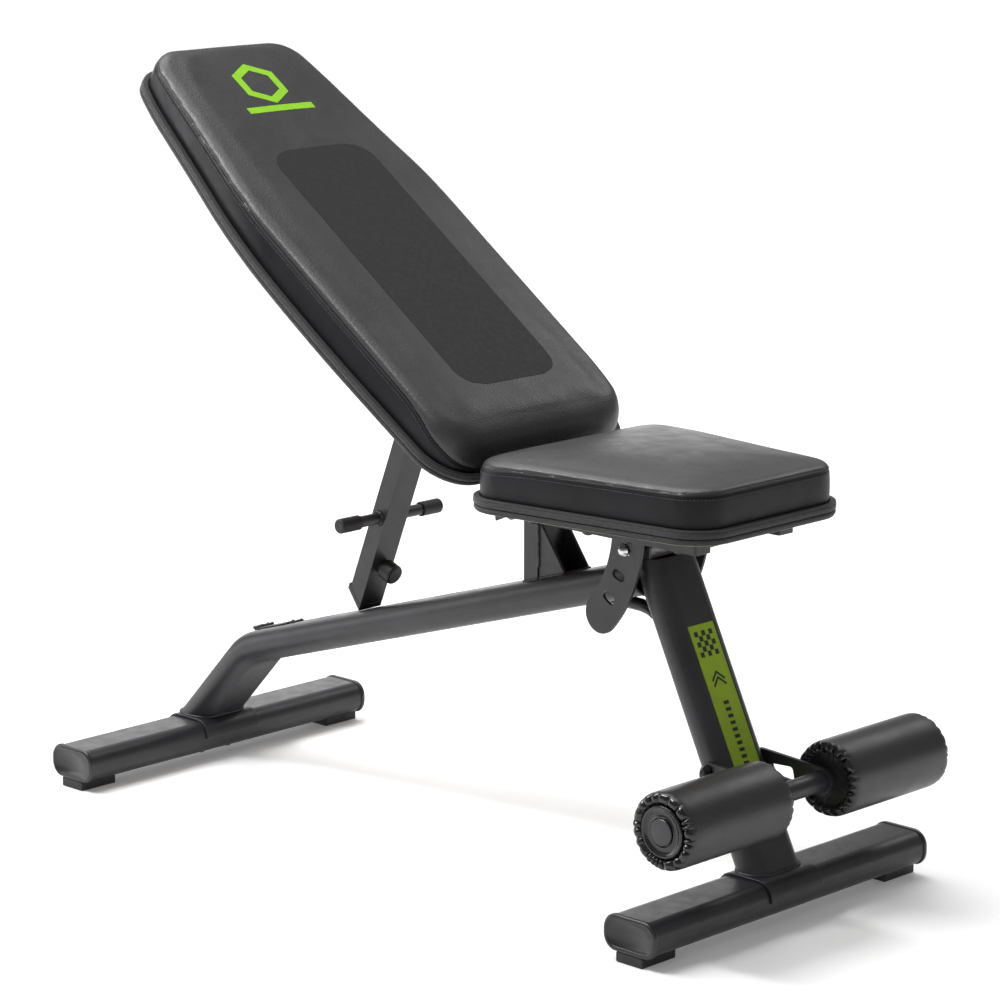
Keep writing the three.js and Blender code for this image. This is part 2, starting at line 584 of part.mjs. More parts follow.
// Support strut: drawn about its pivot pin, hanging down -z, with its wide front face towards +x
const strut = new THREE.Group();
const strutX = BACK_HINGE.x + STRUT.pivotX * Math.cos(BACK_ANGLE) + STRUT.pivotZ * Math.sin(BACK_ANGLE);
const strutZ = BACK_HINGE.z - STRUT.pivotX * Math.sin(BACK_ANGLE) + STRUT.pivotZ * Math.cos(BACK_ANGLE);
strut.position.set(strutX, 0, strutZ);
strut.rotation.y = STRUT_LEAN;
bench.add(strut);

// The strut's length brings the tip of its front face to just above the spine.
const tipX = STRUT.thickness / 2;
function strutLength() {
  const [sin, cos] = [Math.sin(STRUT_LEAN), Math.cos(STRUT_LEAN)];
  const startX = strutX + tipX * cos;
  const startZ = strutZ - tipX * sin;
  const fall = cos - SPINE.slope * sin;
  return (startZ - spineTop(startX) - STRUT_FOOT_CLEARANCE) / fall;
}
const length = strutLength();
const footPlate = 6;
const bevelRise = STRUT_BEVEL_RISE;

// The line of the bevelled foot, from the tip at the front to the higher corner behind.
function footLine(x, lift) {
  return -length + (tipX - x) * bevelRise / STRUT.thickness + lift;
}

function strutTubeGeometry() {
  const { thickness, width, wall, headRoom } = STRUT;
  const outer = box([-thickness / 2, thickness / 2], [-width / 2, width / 2], [-length - 40, headRoom]);
  const bore = box([-thickness / 2 + wall, thickness / 2 - wall], [-width / 2 + wall, width / 2 - wall],
    [-length - 60, headRoom + 20]);
  const lift = footPlate * 1.3 + GAP;
  const bevel = plateXZ(shapeOf([[-30, -length - 80], [30, -length - 80], [30, footLine(30, lift)],
    [-30, footLine(-30, lift)]]), -40, 40);
  const pinHole = barY(AXLE_RADIUS + 0.4, -40, 40);
  const handleHole = barY(HANDLE.radius + GAP, -40, 40).translate(0, 0, -HANDLE.drop);
  const pegHole = new THREE.CylinderGeometry(PEG.radius + GAP, PEG.radius + GAP, 30, 20)
    .rotateZ(Math.PI / 2).translate(20, 0, -PEG.drop);
  return cut(outer, bore, bevel, pinHole, handleHole, pegHole);
}

function footPlateGeometry() {
  const [front, rear] = [tipX, -tipX - 4];
  const outline = [[front, footLine(front, 0)], [front, footLine(front, footPlate * 1.3)],
    [rear, footLine(rear, footPlate * 1.3)], [rear, footLine(rear, 0)]];
  return plateXZ(shapeOf(outline), -STRUT.width / 2, STRUT.width / 2);
}

place(strut, 'strut_tube', strutTubeGeometry(), FRAME_PAINT);
place(strut, 'strut_foot_plate', footPlateGeometry(), FRAME_PAINT);
place(strut, 'strut_handle_bar', barY(HANDLE.radius, -HANDLE.halfLength + 4, HANDLE.halfLength - 4),
  FRAME_PAINT, [0, 0, -HANDLE.drop]);

for (const [side, sign] of SIDES) {
  const { radius, gripRadius, gripLength, halfLength } = HANDLE;
  const open = halfLength - gripLength;
  const grip = turned([[0, halfLength - 4 + GAP], [radius + GAP, halfLength - 4 + GAP], [radius + GAP, open],
    [gripRadius, open], [gripRadius, halfLength - 2], [gripRadius - 2, halfLength], [0, halfLength]], 20);
  place(strut, `strut_grip_${side}`, grip.rotateX(sign > 0 ? 0 : Math.PI), RUBBER, [0, 0, -HANDLE.drop]);
}

function alongX(geometry) {
  return geometry.rotateZ(-Math.PI / 2);
}

const pegStart = tipX - STRUT.wall - 4;
const capOpen = tipX + PEG.length - PEG.capLength + 4;
place(strut, 'strut_peg', alongX(turned([[0, pegStart], [PEG.radius, pegStart], [PEG.radius, tipX + PEG.length],
  [0, tipX + PEG.length]], 20)), FRAME_PAINT, [0, 0, -PEG.drop]);
place(strut, 'strut_peg_cap', alongX(turned([
  [0, tipX + PEG.length + GAP], [PEG.radius + GAP, tipX + PEG.length + GAP], [PEG.radius + GAP, capOpen],
  [PEG.capRadius, capOpen], [PEG.capRadius, capOpen + PEG.capLength - 2],
  [PEG.capRadius - 2, capOpen + PEG.capLength], [0, capOpen + PEG.capLength]], 20)), RUBBER,
  [0, 0, -PEG.drop]);

// Seat: board and cushion on two rails, with a curved adjusting plate on each rail
function seatOutline(rear, inset) {
  const { front, rearHalfWidth, frontHalfWidth, rearRadius, frontRadius } = SEAT;
  const [wr, wf, xf] = [rearHalfWidth - inset, frontHalfWidth - inset, front - inset];
  return roundedOutline([[rear, -wr, rearRadius], [xf, -wf, frontRadius], [xf, wf, frontRadius],
    [rear, wr, rearRadius]]);
}

const seatBoardTop = SEAT.bottom + SEAT.board;
const seatChamfer = plateXZ(shapeOf([[SEAT.rear - 20, SEAT.top - SEAT.rearChamfer],
  [SEAT.rear, SEAT.top - SEAT.rearChamfer], [SEAT.rear + SEAT.rearChamfer * 0.75, SEAT.top + 0.5],
  [SEAT.rear - 20, SEAT.top + 0.5]]), -200, 200);
place(bench, 'seat_cushion', cut(slabXY(seatOutline(SEAT.rear, 0), seatBoardTop + GAP, SEAT.top), seatChamfer),
  VINYL);
place(bench, 'seat_board', slabXY(seatOutline(SEAT.boardRear, SEAT.boardInset), SEAT.bottom, seatBoardTop),
  PLYWOOD);

const seatRailZ = SEAT_RAIL.bottom + RAIL.size / 2;
for (const [side, sign] of SIDES) {
  const hinge = [[SEAT_HINGE.x, SEAT_HINGE.z - seatRailZ]];
  place(bench, `seat_rail_${side}`, hollowRail(SEAT_RAIL.rear, SEAT_RAIL.front, hinge), FRAME_PAINT,
    [0, sign * SEAT_RAIL.y, seatRailZ]);
  const half = RAIL.size / 2;
  const inside = half - RAIL.wall - GAP;
  const plug = join(
    box([GAP, 3], [-half, half], [-half, half]),
    box([-12, GAP + 0.5], [-inside, inside], [-inside, inside]));
  place(bench, `seat_rail_plug_${side}`, plug, BLACK_PLASTIC,
    [SEAT_RAIL.front, sign * SEAT_RAIL.y, seatRailZ]);
}
const seatRailInner = SEAT_RAIL.y - RAIL.size / 2 - GAP;
place(bench, 'seat_crossmember', cut(
  box([-12.5, 12.5], [-seatRailInner, seatRailInner], [-12.5, 12.5]),
  box([-10.5, 10.5], [-seatRailInner - 5, seatRailInner + 5], [-10.5, 10.5])), FRAME_PAINT,
  [SEAT_RAIL.front - 28, 0, seatRailZ]);

function arcPlateGeometry() {
  const { inner, outer, endAngle, endRadius, holeRadius, hole, holeReach, firstHole, step, plate } = SEAT_ARC;
  const top = SEAT_RAIL.bottom - GAP - SEAT_HINGE.z;
  const middle = (inner + outer) / 2;
  const end = new THREE.Vector2(Math.cos(-endAngle), Math.sin(-endAngle)).multiplyScalar(middle);
  const shape = new THREE.Shape();
  shape.moveTo(Math.sqrt(inner ** 2 - top ** 2), top);
  shape.absarc(0, 0, inner, Math.asin(top / inner), -endAngle, true);
  shape.absarc(end.x, end.y, endRadius, Math.PI - endAngle, 2 * Math.PI - endAngle);
  shape.absarc(0, 0, outer, -endAngle, Math.asin(top / outer));
  shape.closePath();
  for (let i = 0; i < 3; i++) {
    const angle = -(firstHole + i * step);
    const slot = new THREE.Path();
    for (const [reach, start] of [[holeReach, -Math.PI / 2], [-holeReach, Math.PI / 2]]) {
      const centre = new THREE.Vector2(Math.cos(angle), Math.sin(angle)).multiplyScalar(holeRadius + reach);
      slot.absarc(centre.x, centre.y, hole, angle + start, angle + start + Math.PI);
    }
    slot.closePath();
    shape.holes.push(slot);
  }
  return plateXZ(shape, -plate / 2, plate / 2);
}

for (const [side, sign] of SIDES) {
  place(bench, `seat_arc_plate_${side}`, arcPlateGeometry(), FRAME_PAINT,
    [SEAT_HINGE.x, sign * SEAT_ARC.y, SEAT_HINGE.z]);
}

// Seat pin: a domed head outside the right plate, and a plain end beyond the left one
const pinHead = SEAT_ARC.y + SEAT_ARC.plate / 2 + GAP;
place(bench, 'seat_pin', turned([[0, -pinHead - PIN.headRadius],
  [PIN.headRadius * 0.6, -pinHead - PIN.headRadius * 0.8], [PIN.headRadius, -pinHead - 2],
  [PIN.headRadius, -pinHead], [PIN.radius, -pinHead], [PIN.radius, PIN.reach - 2], [PIN.radius - 2, PIN.reach],
  [0, PIN.reach]], 20), STEEL, [pinX, 0, pinZ]);

export default bench;
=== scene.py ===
"""Decline sit-up bench: the looks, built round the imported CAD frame.

Metres, Z up, +X towards the foot rollers. Sizes are written in millimetres and scaled by MM.
"""

import json
import math

import bmesh
import bpy
import numpy as np
from mathutils import Matrix, Vector
from mathutils.bvhtree import BVHTree
from mathutils.geometry import convex_hull_2d

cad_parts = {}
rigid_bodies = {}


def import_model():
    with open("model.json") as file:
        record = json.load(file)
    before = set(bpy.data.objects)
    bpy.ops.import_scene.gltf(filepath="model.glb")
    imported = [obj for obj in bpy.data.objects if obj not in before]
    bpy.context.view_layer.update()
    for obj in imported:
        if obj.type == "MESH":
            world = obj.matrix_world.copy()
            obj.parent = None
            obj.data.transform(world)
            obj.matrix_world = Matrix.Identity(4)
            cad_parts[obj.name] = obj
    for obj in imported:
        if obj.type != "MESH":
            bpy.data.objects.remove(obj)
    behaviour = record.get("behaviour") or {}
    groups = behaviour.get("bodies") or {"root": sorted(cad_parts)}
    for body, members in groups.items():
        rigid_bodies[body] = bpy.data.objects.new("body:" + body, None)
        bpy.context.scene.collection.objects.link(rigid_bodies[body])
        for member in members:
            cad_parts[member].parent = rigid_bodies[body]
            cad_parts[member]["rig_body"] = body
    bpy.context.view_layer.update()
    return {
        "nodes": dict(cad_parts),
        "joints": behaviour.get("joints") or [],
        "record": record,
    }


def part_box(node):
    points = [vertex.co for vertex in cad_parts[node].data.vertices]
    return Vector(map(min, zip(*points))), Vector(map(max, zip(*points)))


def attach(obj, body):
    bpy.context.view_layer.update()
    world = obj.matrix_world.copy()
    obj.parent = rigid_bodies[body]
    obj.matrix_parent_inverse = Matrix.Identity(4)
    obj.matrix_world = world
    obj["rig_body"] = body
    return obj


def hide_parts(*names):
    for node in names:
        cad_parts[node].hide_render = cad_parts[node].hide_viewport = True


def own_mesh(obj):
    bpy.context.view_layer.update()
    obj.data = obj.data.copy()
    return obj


for leftover in list(bpy.data.objects):
    bpy.data.objects.remove(leftover)

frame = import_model()
CAD = frame["nodes"]
JOINTS = {joint["name"]: joint for joint in frame["joints"]}
MM = 0.001
SIDES = (("right", -1), ("left", 1))
RNG = np.random.default_rng(7)


# ---- camera, light and floor

CAMERA_PLACE = Vector((3.1627, -3.2059, 1.4136))
CAMERA_TARGET = Vector((0.030, 0, 0.4375))
CAMERA_LENS = 132.2
CAMERA_SENSOR = 36
CAMERA_REACH = 100

AREA_LIGHTS = (
    # name, place, target, width and height, watts
    ("near_strip", (-1.05, -1.3, 2.55), (-1.05, 0, 0.9), (1.9, 0.3), 56),
    ("far_softbox", (0.3, 2.4, 2.4), (0, 0, 0.6), (1.4, 1.0), 12),
    ("backdrop_glow", (-2.7, 1.9, 0.9), (0.2, -0.05, 0.5), (2.6, 0.9), 17),
    ("left_strip", (-2.8, -1.2, 0.9), (0, 0, 0.4), (0.8, 1.6), 14))
OVERHEAD_STRENGTH = 2.4
OVERHEAD_SPREAD = math.radians(55)
OVERHEAD_TURN = (math.radians(-3), math.radians(-26), 0)
WORLD_STRENGTH = 0.3


def add_object(name, data):
    obj = bpy.data.objects.new(name, data)
    bpy.context.scene.collection.objects.link(obj)
    return obj


def aim(obj, place, target):
    obj.location = place
    obj.rotation_euler = (Vector(target) - Vector(place)).to_track_quat("-Z", "Y").to_euler()


def make_camera():
    data = bpy.data.cameras.new("camera")
    data.lens = CAMERA_LENS
    data.sensor_width = CAMERA_SENSOR
    data.clip_end = CAMERA_REACH
    camera = add_object("camera", data)
    aim(camera, CAMERA_PLACE, CAMERA_TARGET)
    bpy.context.scene.camera = camera


def make_studio():
    """Four soft boxes, a wide overhead light and a weak white world."""
    for name, place, target, size, watts in AREA_LIGHTS:
        data = bpy.data.lights.new(name, "AREA")
        data.shape = "RECTANGLE"
        data.size, data.size_y = size
        data.energy = watts
        light = add_object(name, data)
        aim(light, place, target)
        light.visible_camera = False
    data = bpy.data.lights.new("overhead", "SUN")
    data.energy = OVERHEAD_STRENGTH
    data.angle = OVERHEAD_SPREAD
    add_object("overhead", data).rotation_euler = OVERHEAD_TURN
    world = bpy.data.worlds.new("studio")
    bpy.context.scene.world = world
    world.use_nodes = True
    background = world.node_tree.nodes["Background"]
    background.inputs["Color"].default_value = (1, 1, 1, 1)
    background.inputs["Strength"].default_value = WORLD_STRENGTH
    bpy.context.scene.view_settings.view_transform = "Standard"


# ---- materials

def srgb(*rgb):
    """Linear RGBA from 0 to 255 sRGB values."""
    linear = [c / 255 / 12.92 if c / 255 <= 0.04045 else ((c / 255 + 0.055) / 1.055) ** 2.4 for c in rgb]
    return (*linear, 1)


class Nodes:
    """A new material with a Principled shader, and short calls that add and link its other nodes.

    Scales are in features per metre, and a bump's distance is in metres. Noise stays mostly between 0.3
    and 0.7, so colour and roughness spread about that part of it over their two ends.
    """

    def __init__(self, name):
        self.material = bpy.data.materials.new(name)
        self.material.use_nodes = True
        self.tree = self.material.node_tree
        self.shader = self.tree.nodes["Principled BSDF"]
        self.place = self.add("ShaderNodeTexCoord", {}).outputs["Object"]

    def add(self, kind, inputs, **settings):
        node = self.tree.nodes.new(kind)
        for key, value in settings.items():
            setattr(node, key, value)
        for socket, value in inputs.items():
            self.feed(node, socket, value)
        return node

    def feed(self, node, socket, value):
        """Gives an input a value, or links another node's output to it."""
        if isinstance(value, bpy.types.NodeSocket):
            self.tree.links.new(value, node.inputs[socket])
        else:
            node.inputs[socket].default_value = value

    def noise(self, scale, detail, stretch=None):
        place = self.place
        if stretch:
            place = self.add("ShaderNodeMapping", {"Scale": stretch, "Vector": place}).outputs["Vector"]
        return self.add("ShaderNodeTexNoise", {"Scale": scale, "Detail": detail, "Vector": place}).outputs["Fac"]

    def cells(self, scale, feature="SMOOTH_F1"):
        node = self.add("ShaderNodeTexVoronoi", {"Scale": scale, "Vector": self.place}, feature=feature)
        return node.outputs["Distance"]

    def weave(self, scale):
        """Two crossed sets of threads."""
        inputs = {"Scale": scale, "Vector": self.place}
        threads = [self.add("ShaderNodeTexWave", inputs, bands_direction=way) for way in ("DIAGONAL", "Z")]
        return self.math("MULTIPLY", *(node.outputs["Fac"] for node in threads))

    def math(self, operation, a, b):
        return self.add("ShaderNodeMath", {0: a, 1: b}, operation=operation).outputs[0]

    def colour(self, fac, low, high):
        ramp = self.add("ShaderNodeValToRGB", {"Fac": fac})
        for element, at, value in zip(ramp.color_ramp.elements, (0.35, 0.65), (low, high)):
            element.position = at
            element.color = value
        self.feed(self.shader, "Base Color", ramp.outputs["Color"])

    def roughness(self, fac, low, high):
        inputs = {"Value": fac, "From Min": 0.3, "From Max": 0.7, "To Min": low, "To Max": high}
        self.feed(self.shader, "Roughness", self.add("ShaderNodeMapRange", inputs).outputs["Result"])

    def bump(self, height, strength, distance):
        inputs = {"Strength": strength, "Distance": distance, "Height": height}
        self.feed(self.shader, "Normal", self.add("ShaderNodeBump", inputs).outputs["Normal"])

    def set(self, **values):
        for key, value in values.items():
            self.shader.inputs[key.replace("_", " ")].default_value = value
        return self.material


def make_material(name, low, high, rough, tone, wear, grain=None, strength=0.0, depth=0.0, **settings):
    """A material between two sRGB colours and two roughnesses, with a bump.

    tone and wear are the noises that spread the colour and the roughness, as scale, detail and stretch.
    grain makes the bump's height from the nodes.
    """
    n = Nodes(name)
    n.colour(n.noise(*tone), srgb(*low), srgb(*high))
    n.roughness(n.noise(*wear), *rough)
    if grain:
        n.bump(grain(n), strength, depth)
    return n.set(**settings)


def orange_peel(n):
    """The surface of powder coating: a fine grain over slower waves."""
    return n.math("ADD", n.noise(1500, 1), n.math("MULTIPLY", n.noise(160, 2), 1.5))


def moulded_plastic(name, low, high, rough):
    return make_material(name, low, high, rough, (25, 3), (80, 2), lambda n: n.noise(1100, 2), 0.3, 0.00012)


def vinyl(name, low, high, rough, cell, depth, strength, specular=0.5):
    """Leather-grained vinyl: small cells, with a little slow change of tone."""
    def grain(n):
        return n.math("ADD", n.cells(cell), n.math("MULTIPLY", n.noise(cell * 0.5, 3), 0.6))

    return make_material(name, low, high, rough, (9, 4), (40, 3), grain, strength, depth, Specular_IOR_Level=specular)


def webbing(name, low, high):
    """Woven tape or thread."""
    return make_material(name, low, high, (0.55, 0.75), (700, 2), (300, 2), lambda n: n.weave(420), 0.6, 0.0003,
                    Sheen_Weight=0.15, Sheen_Roughness=0.4)


def print_ink(name, low, high, rough=(0.4, 0.55)):
    """A print that takes on the grain under it."""
    return make_material(name, low, high, rough, (60, 3), (200, 2), lambda n: n.cells(620), 0.25, 0.0001)


STEEL = make_material("powder_coat", (34, 34, 37), (42, 42, 45), (0.34, 0.44), (14, 4), (60, 3),
                 orange_peel, 0.35, 0.00012, Specular_IOR_Level=0.42)
DARK_STEEL = make_material("dark_steel", (30, 30, 31), (48, 48, 49), (0.26, 0.4), (90, 3), (200, 2),
                      lambda n: n.noise(900, 2), 0.2, 0.0001, Metallic=0.75)
BRIGHT_STEEL = make_material("bright_steel", (188, 188, 190), (214, 214, 216), (0.14, 0.26), (120, 3), (250, 2),
                        lambda n: n.noise(1200, 2, (1, 8, 8)), 0.12, 0.00008, Metallic=1.0)
CAP_PLASTIC = moulded_plastic("cap_plastic", (24, 24, 26), (32, 32, 34), (0.3, 0.42))
DISC_PLASTIC = moulded_plastic("disc_plastic", (17, 17, 19), (25, 25, 27), (0.2, 0.3))
HUB_PLASTIC = moulded_plastic("hub_plastic", (34, 34, 37), (44, 44, 47), (0.3, 0.4))
RUBBER = moulded_plastic("rubber", (15, 15, 16), (23, 23, 24), (0.5, 0.62))
UNDER_EDGE = moulded_plastic("under_edge", (96, 98, 88), (128, 130, 118), (0.45, 0.55))
TOP_VINYL = vinyl("top_vinyl", (43, 43, 44), (51, 51, 52), (0.36, 0.46), 470, 0.0004, 0.6)
SIDE_VINYL = vinyl("side_vinyl", (14, 14, 17), (21, 21, 25), (0.42, 0.52), 760, 0.00012, 0.3, 0.25)
ROLLER_VINYL = vinyl("roller_vinyl", (32, 32, 33), (40, 40, 41), (0.34, 0.42), 560, 0.0003, 0.5)
PLEAT_VINYL = vinyl("pleat_vinyl", (13, 13, 14), (22, 22, 23), (0.16, 0.26), 500, 0.0001, 0.2)
BINDING = webbing("binding_tape", (22, 22, 22), (42, 42, 42))
THREAD = webbing("thread", (40, 40, 42), (72, 72, 74))
PLYWOOD = make_material("plywood", (150, 118, 78), (186, 154, 108), (0.6, 0.8), (8, 5, (0.6, 6, 40)), (60, 3),
                   lambda n: n.noise(220, 3, (0.4, 5, 5)), 0.3, 0.0003)
GRIP = make_material("grip_texture", (20, 20, 20), (27, 27, 27), (0.6, 0.7), (900, 2), (120, 2),
                lambda n: n.cells(520, "F1"), 0.6, 0.0003, Specular_IOR_Level=0.35)
GREEN_INK = print_ink("green_ink", (128, 190, 0), (136, 198, 4))
GREEN_LABEL = print_ink("green_label", (132, 160, 2), (139, 168, 4), (0.4, 0.5))
DARK_INK = print_ink("dark_ink", (12, 17, 6), (18, 24, 9), (0.55, 0.65))
FLOOR_WHITE = make_material("floor_white", (249, 249, 249), (251, 251, 251), (0.7, 0.8), (3, 3), (20, 2),
                       Specular_IOR_Level=0.1, Emission_Color=(1, 1, 1, 1), Emission_Strength=0.12)
BACKDROP_WHITE = make_material("backdrop_white", (250, 250, 250), (254, 254, 254), (0.5, 0.5), (1, 2), (20, 2),
                          Emission_Color=(1, 1, 1, 1), Emission_Strength=1.0)


# ---- meshes

SAME_POINT = 1e-6


def new_piece(name, mesh, body, slot, *materials, smooth=40):
    """Adds an object for a mesh, shades it smooth up to an angle unless that is None, and rides it on a body."""
    obj = add_object(name, mesh)
    for material in materials:
        mesh.materials.append(material)
    if smooth is not None:
        mesh.shade_smooth()
        mesh.set_sharp_from_angle(angle=math.radians(smooth))
    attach(obj, body)
    return obj


def mesh_from(name, points, faces):
    """A mesh with its doubled points merged and its faces turned outwards."""
    mesh = bpy.data.meshes.new(name)
    mesh.from_pydata([tuple(p) for p in points], [], faces)
    mesh.validate()
    tidy = bmesh.new()
    tidy.from_mesh(mesh)
    bmesh.ops.remove_doubles(tidy, verts=tidy.verts, dist=SAME_POINT)
    bmesh.ops.recalc_face_normals(tidy, faces=tidy.faces)
    tidy.to_mesh(mesh)
    tidy.free()
    return mesh


def evaluated_mesh(obj):
    """The object's mesh with its modifiers applied."""
    graph = bpy.context.evaluated_depsgraph_get()
    return bpy.data.meshes.new_from_object(obj.evaluated_get(graph))


def modified(mesh, *modifiers):
    """The mesh after modifiers, each given as its type and its settings."""
    holder = add_object("holder", mesh)
    for kind, settings in modifiers:
        modifier = holder.modifiers.new(kind, kind)
        for key, value in settings.items():
            setattr(modifier, key, value)
    result = evaluated_mesh(holder)
    bpy.data.objects.remove(holder)
    return result


def grid_faces(rows, columns, wrap_columns=True, wrap_rows=False):
    """Four-sided faces between rows of points, numbered row by row."""
    faces = []
    for r in range(rows if wrap_rows else rows - 1):
        for c in range(columns if wrap_columns else columns - 1):
            below, right = (r + 1) % rows, (c + 1) % columns
            faces.append((r * columns + c, r * columns + right, below * columns + right, below * columns + c))
    return faces


def stack(rings):
    """A closed solid from rings of points, with a flat face over the first and the last."""
    rows, columns = len(rings), len(rings[0])
    faces = grid_faces(rows, columns)
    faces.append(tuple(range(columns)))
    faces.append(tuple(range((rows - 1) * columns, rows * columns)))
    return np.concatenate(rings), faces


def tube(path, radius, sides=8, closed=False):
    """A round tube along points. radius is one number, or one for each point."""
    path = np.asarray(path, float)
    count = len(path)
    radii = np.broadcast_to(radius, count)
    ahead = np.roll(path, -1, 0) - np.roll(path, 1, 0)
    if not closed:
        ahead[0], ahead[-1] = path[1] - path[0], path[-1] - path[-2]
    ahead /= np.linalg.norm(ahead, axis=1, keepdims=True)
    side = np.cross(ahead[0], (0.13, 0.21, 0.97))
    rings = []
    for i in range(count):
        side = side - ahead[i] * (side @ ahead[i])
        side /= np.linalg.norm(side)
        up = np.cross(ahead[i], side)
        turn = np.arange(sides) * 2 * math.pi / sides
        rings.append(path[i] + radii[i] * (np.outer(np.cos(turn), side) + np.outer(np.sin(turn), up)))
    if closed:
        return np.concatenate(rings), grid_faces(count, sides, wrap_rows=True)
    return stack(rings)


def distances(line):
    """How far each point of a line is along it from its start."""
    return np.concatenate([[0], np.cumsum(np.linalg.norm(np.diff(line, axis=0), axis=1))])


def along_line(line, run, spots):
    """Points at distances along a line whose own points are at the distances run."""
    return np.stack([np.interp(spots, run, line[:, axis]) for axis in range(3)], -1)


def merge(parts):
    """One list of points and faces from several."""
    points, faces, start = [], [], 0
    for part_points, part_faces in parts:
        points.append(np.asarray(part_points, float))
        faces.extend(tuple(i + start for i in face) for face in part_faces)
        start += len(part_points)
    return np.concatenate(points), faces


CAD_SAME_POINT = 2e-5
FLAT_ANGLE = math.radians(0.6)
BEVEL_ANGLE = math.radians(38)


def refined(node, slot, material, bevel=0.7 * MM, smooth=32):
    """The CAD node's own shape with its hard edges rounded and its curves shaded smooth."""
    work = bmesh.new()
    work.from_mesh(CAD[node].data)
    bmesh.ops.remove_doubles(work, verts=work.verts, dist=CAD_SAME_POINT)
    bmesh.ops.dissolve_limit(work, angle_limit=FLAT_ANGLE, verts=work.verts, edges=work.edges)
    mesh = bpy.data.meshes.new(node + "_finish")
    work.to_mesh(mesh)
    work.free()
    mesh.materials.clear()
    mesh.shade_smooth()
    mesh.set_sharp_from_angle(angle=math.radians(smooth))
    rounding = {"width": bevel, "segments": 2, "limit_method": "ANGLE", "angle_limit": BEVEL_ANGLE,
                "use_clamp_overlap": True}
    finished = modified(mesh, ("BEVEL", rounding), ("WEIGHTED_NORMAL", {"keep_sharp": True}))
    piece = new_piece(node + "_finish", finished, CAD[node]["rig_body"], slot, material, smooth=None)
    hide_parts(node)
    return piece


# ---- outlines of the pads

CORNER_POINTS = 10
EDGE_POINTS = 16
ROUND_HANDLE = 0.5523


def closed_outline(corners):
    """A closed curve in X and Y from corners (x, y, cut): each corner is rounded over the length cut.

    The rounding is a Bezier curve, and ROUND_HANDLE makes it a quarter circle where the corner is square.
    """
    corners = [Vector((x, y, cut)) for x, y, cut in corners]
    points = []
    for i, corner in enumerate(corners):
        here = corner.xy
        back = (corners[i - 1].xy - here).normalized() * corner.z
        ahead = (corners[(i + 1) % len(corners)].xy - here).normalized() * corner.z
        ends = (here + back, here + back * (1 - ROUND_HANDLE), here + ahead * (1 - ROUND_HANDLE), here + ahead)
        for step in range(CORNER_POINTS):
            t = step / CORNER_POINTS
            weights = ((1 - t) ** 3, 3 * t * (1 - t) ** 2, 3 * t * t * (1 - t), t ** 3)
            points.append(sum((end * w for end, w in zip(ends, weights)), Vector((0, 0))))
        following = corners[(i + 1) % len(corners)]
        stop = following.xy + (here - following.xy).normalized() * following.z
        for step in range(EDGE_POINTS):
            points.append(ends[3].lerp(stop, step / EDGE_POINTS))
    return np.array([tuple(p) for p in points])


def mirrored(half):
    """The whole outline, anticlockwise, from the corners on the -Y side given from front to back."""
    near = [(x * MM, -y * MM, cut * MM) for x, y, cut in reversed(half)]
    far = [(x * MM, y * MM, cut * MM) for x, y, cut in half]
    return near + far


def outward(outline):
    """The outward direction at each point of an anticlockwise outline."""
    along = np.roll(outline, -1, 0) - np.roll(outline, 1, 0)
    along /= np.linalg.norm(along, axis=1, keepdims=True)
    return np.stack([along[:, 1], -along[:, 0]], 1)


def ring_at(outline, grow, height):
    """The outline moved outwards by grow, at a height."""
    points = outline + outward(outline) * grow
    return np.column_stack([points, np.broadcast_to(height, len(points))])


def nearest_on_outline(points, outline):
    """For each point in X and Y, how far it is from the outline, and where along it in steps from its start."""
    start, end = outline, np.roll(outline, -1, 0)
    edge = end - start
    length = (edge ** 2).sum(1)
    best = np.full(len(points), np.inf)
    nearest = np.zeros(len(points))
    for i, (a, e, size) in enumerate(zip(start, edge, length)):
        share = np.clip(((points - a) @ e) / size, 0, 1)
        away = np.linalg.norm(points - a - share[:, None] * e, axis=1)
        closer = away < best
        nearest[closer] = i + share[closer]
        best = np.minimum(best, away)
    return best, nearest


# ---- pads

BAND_INSET = 7 * MM
DENT_HALF = 52 * MM
ROLL_START = 230 * MM
ROLL_LENGTH = 100 * MM
SHOULDER_SLOPE = 0.95


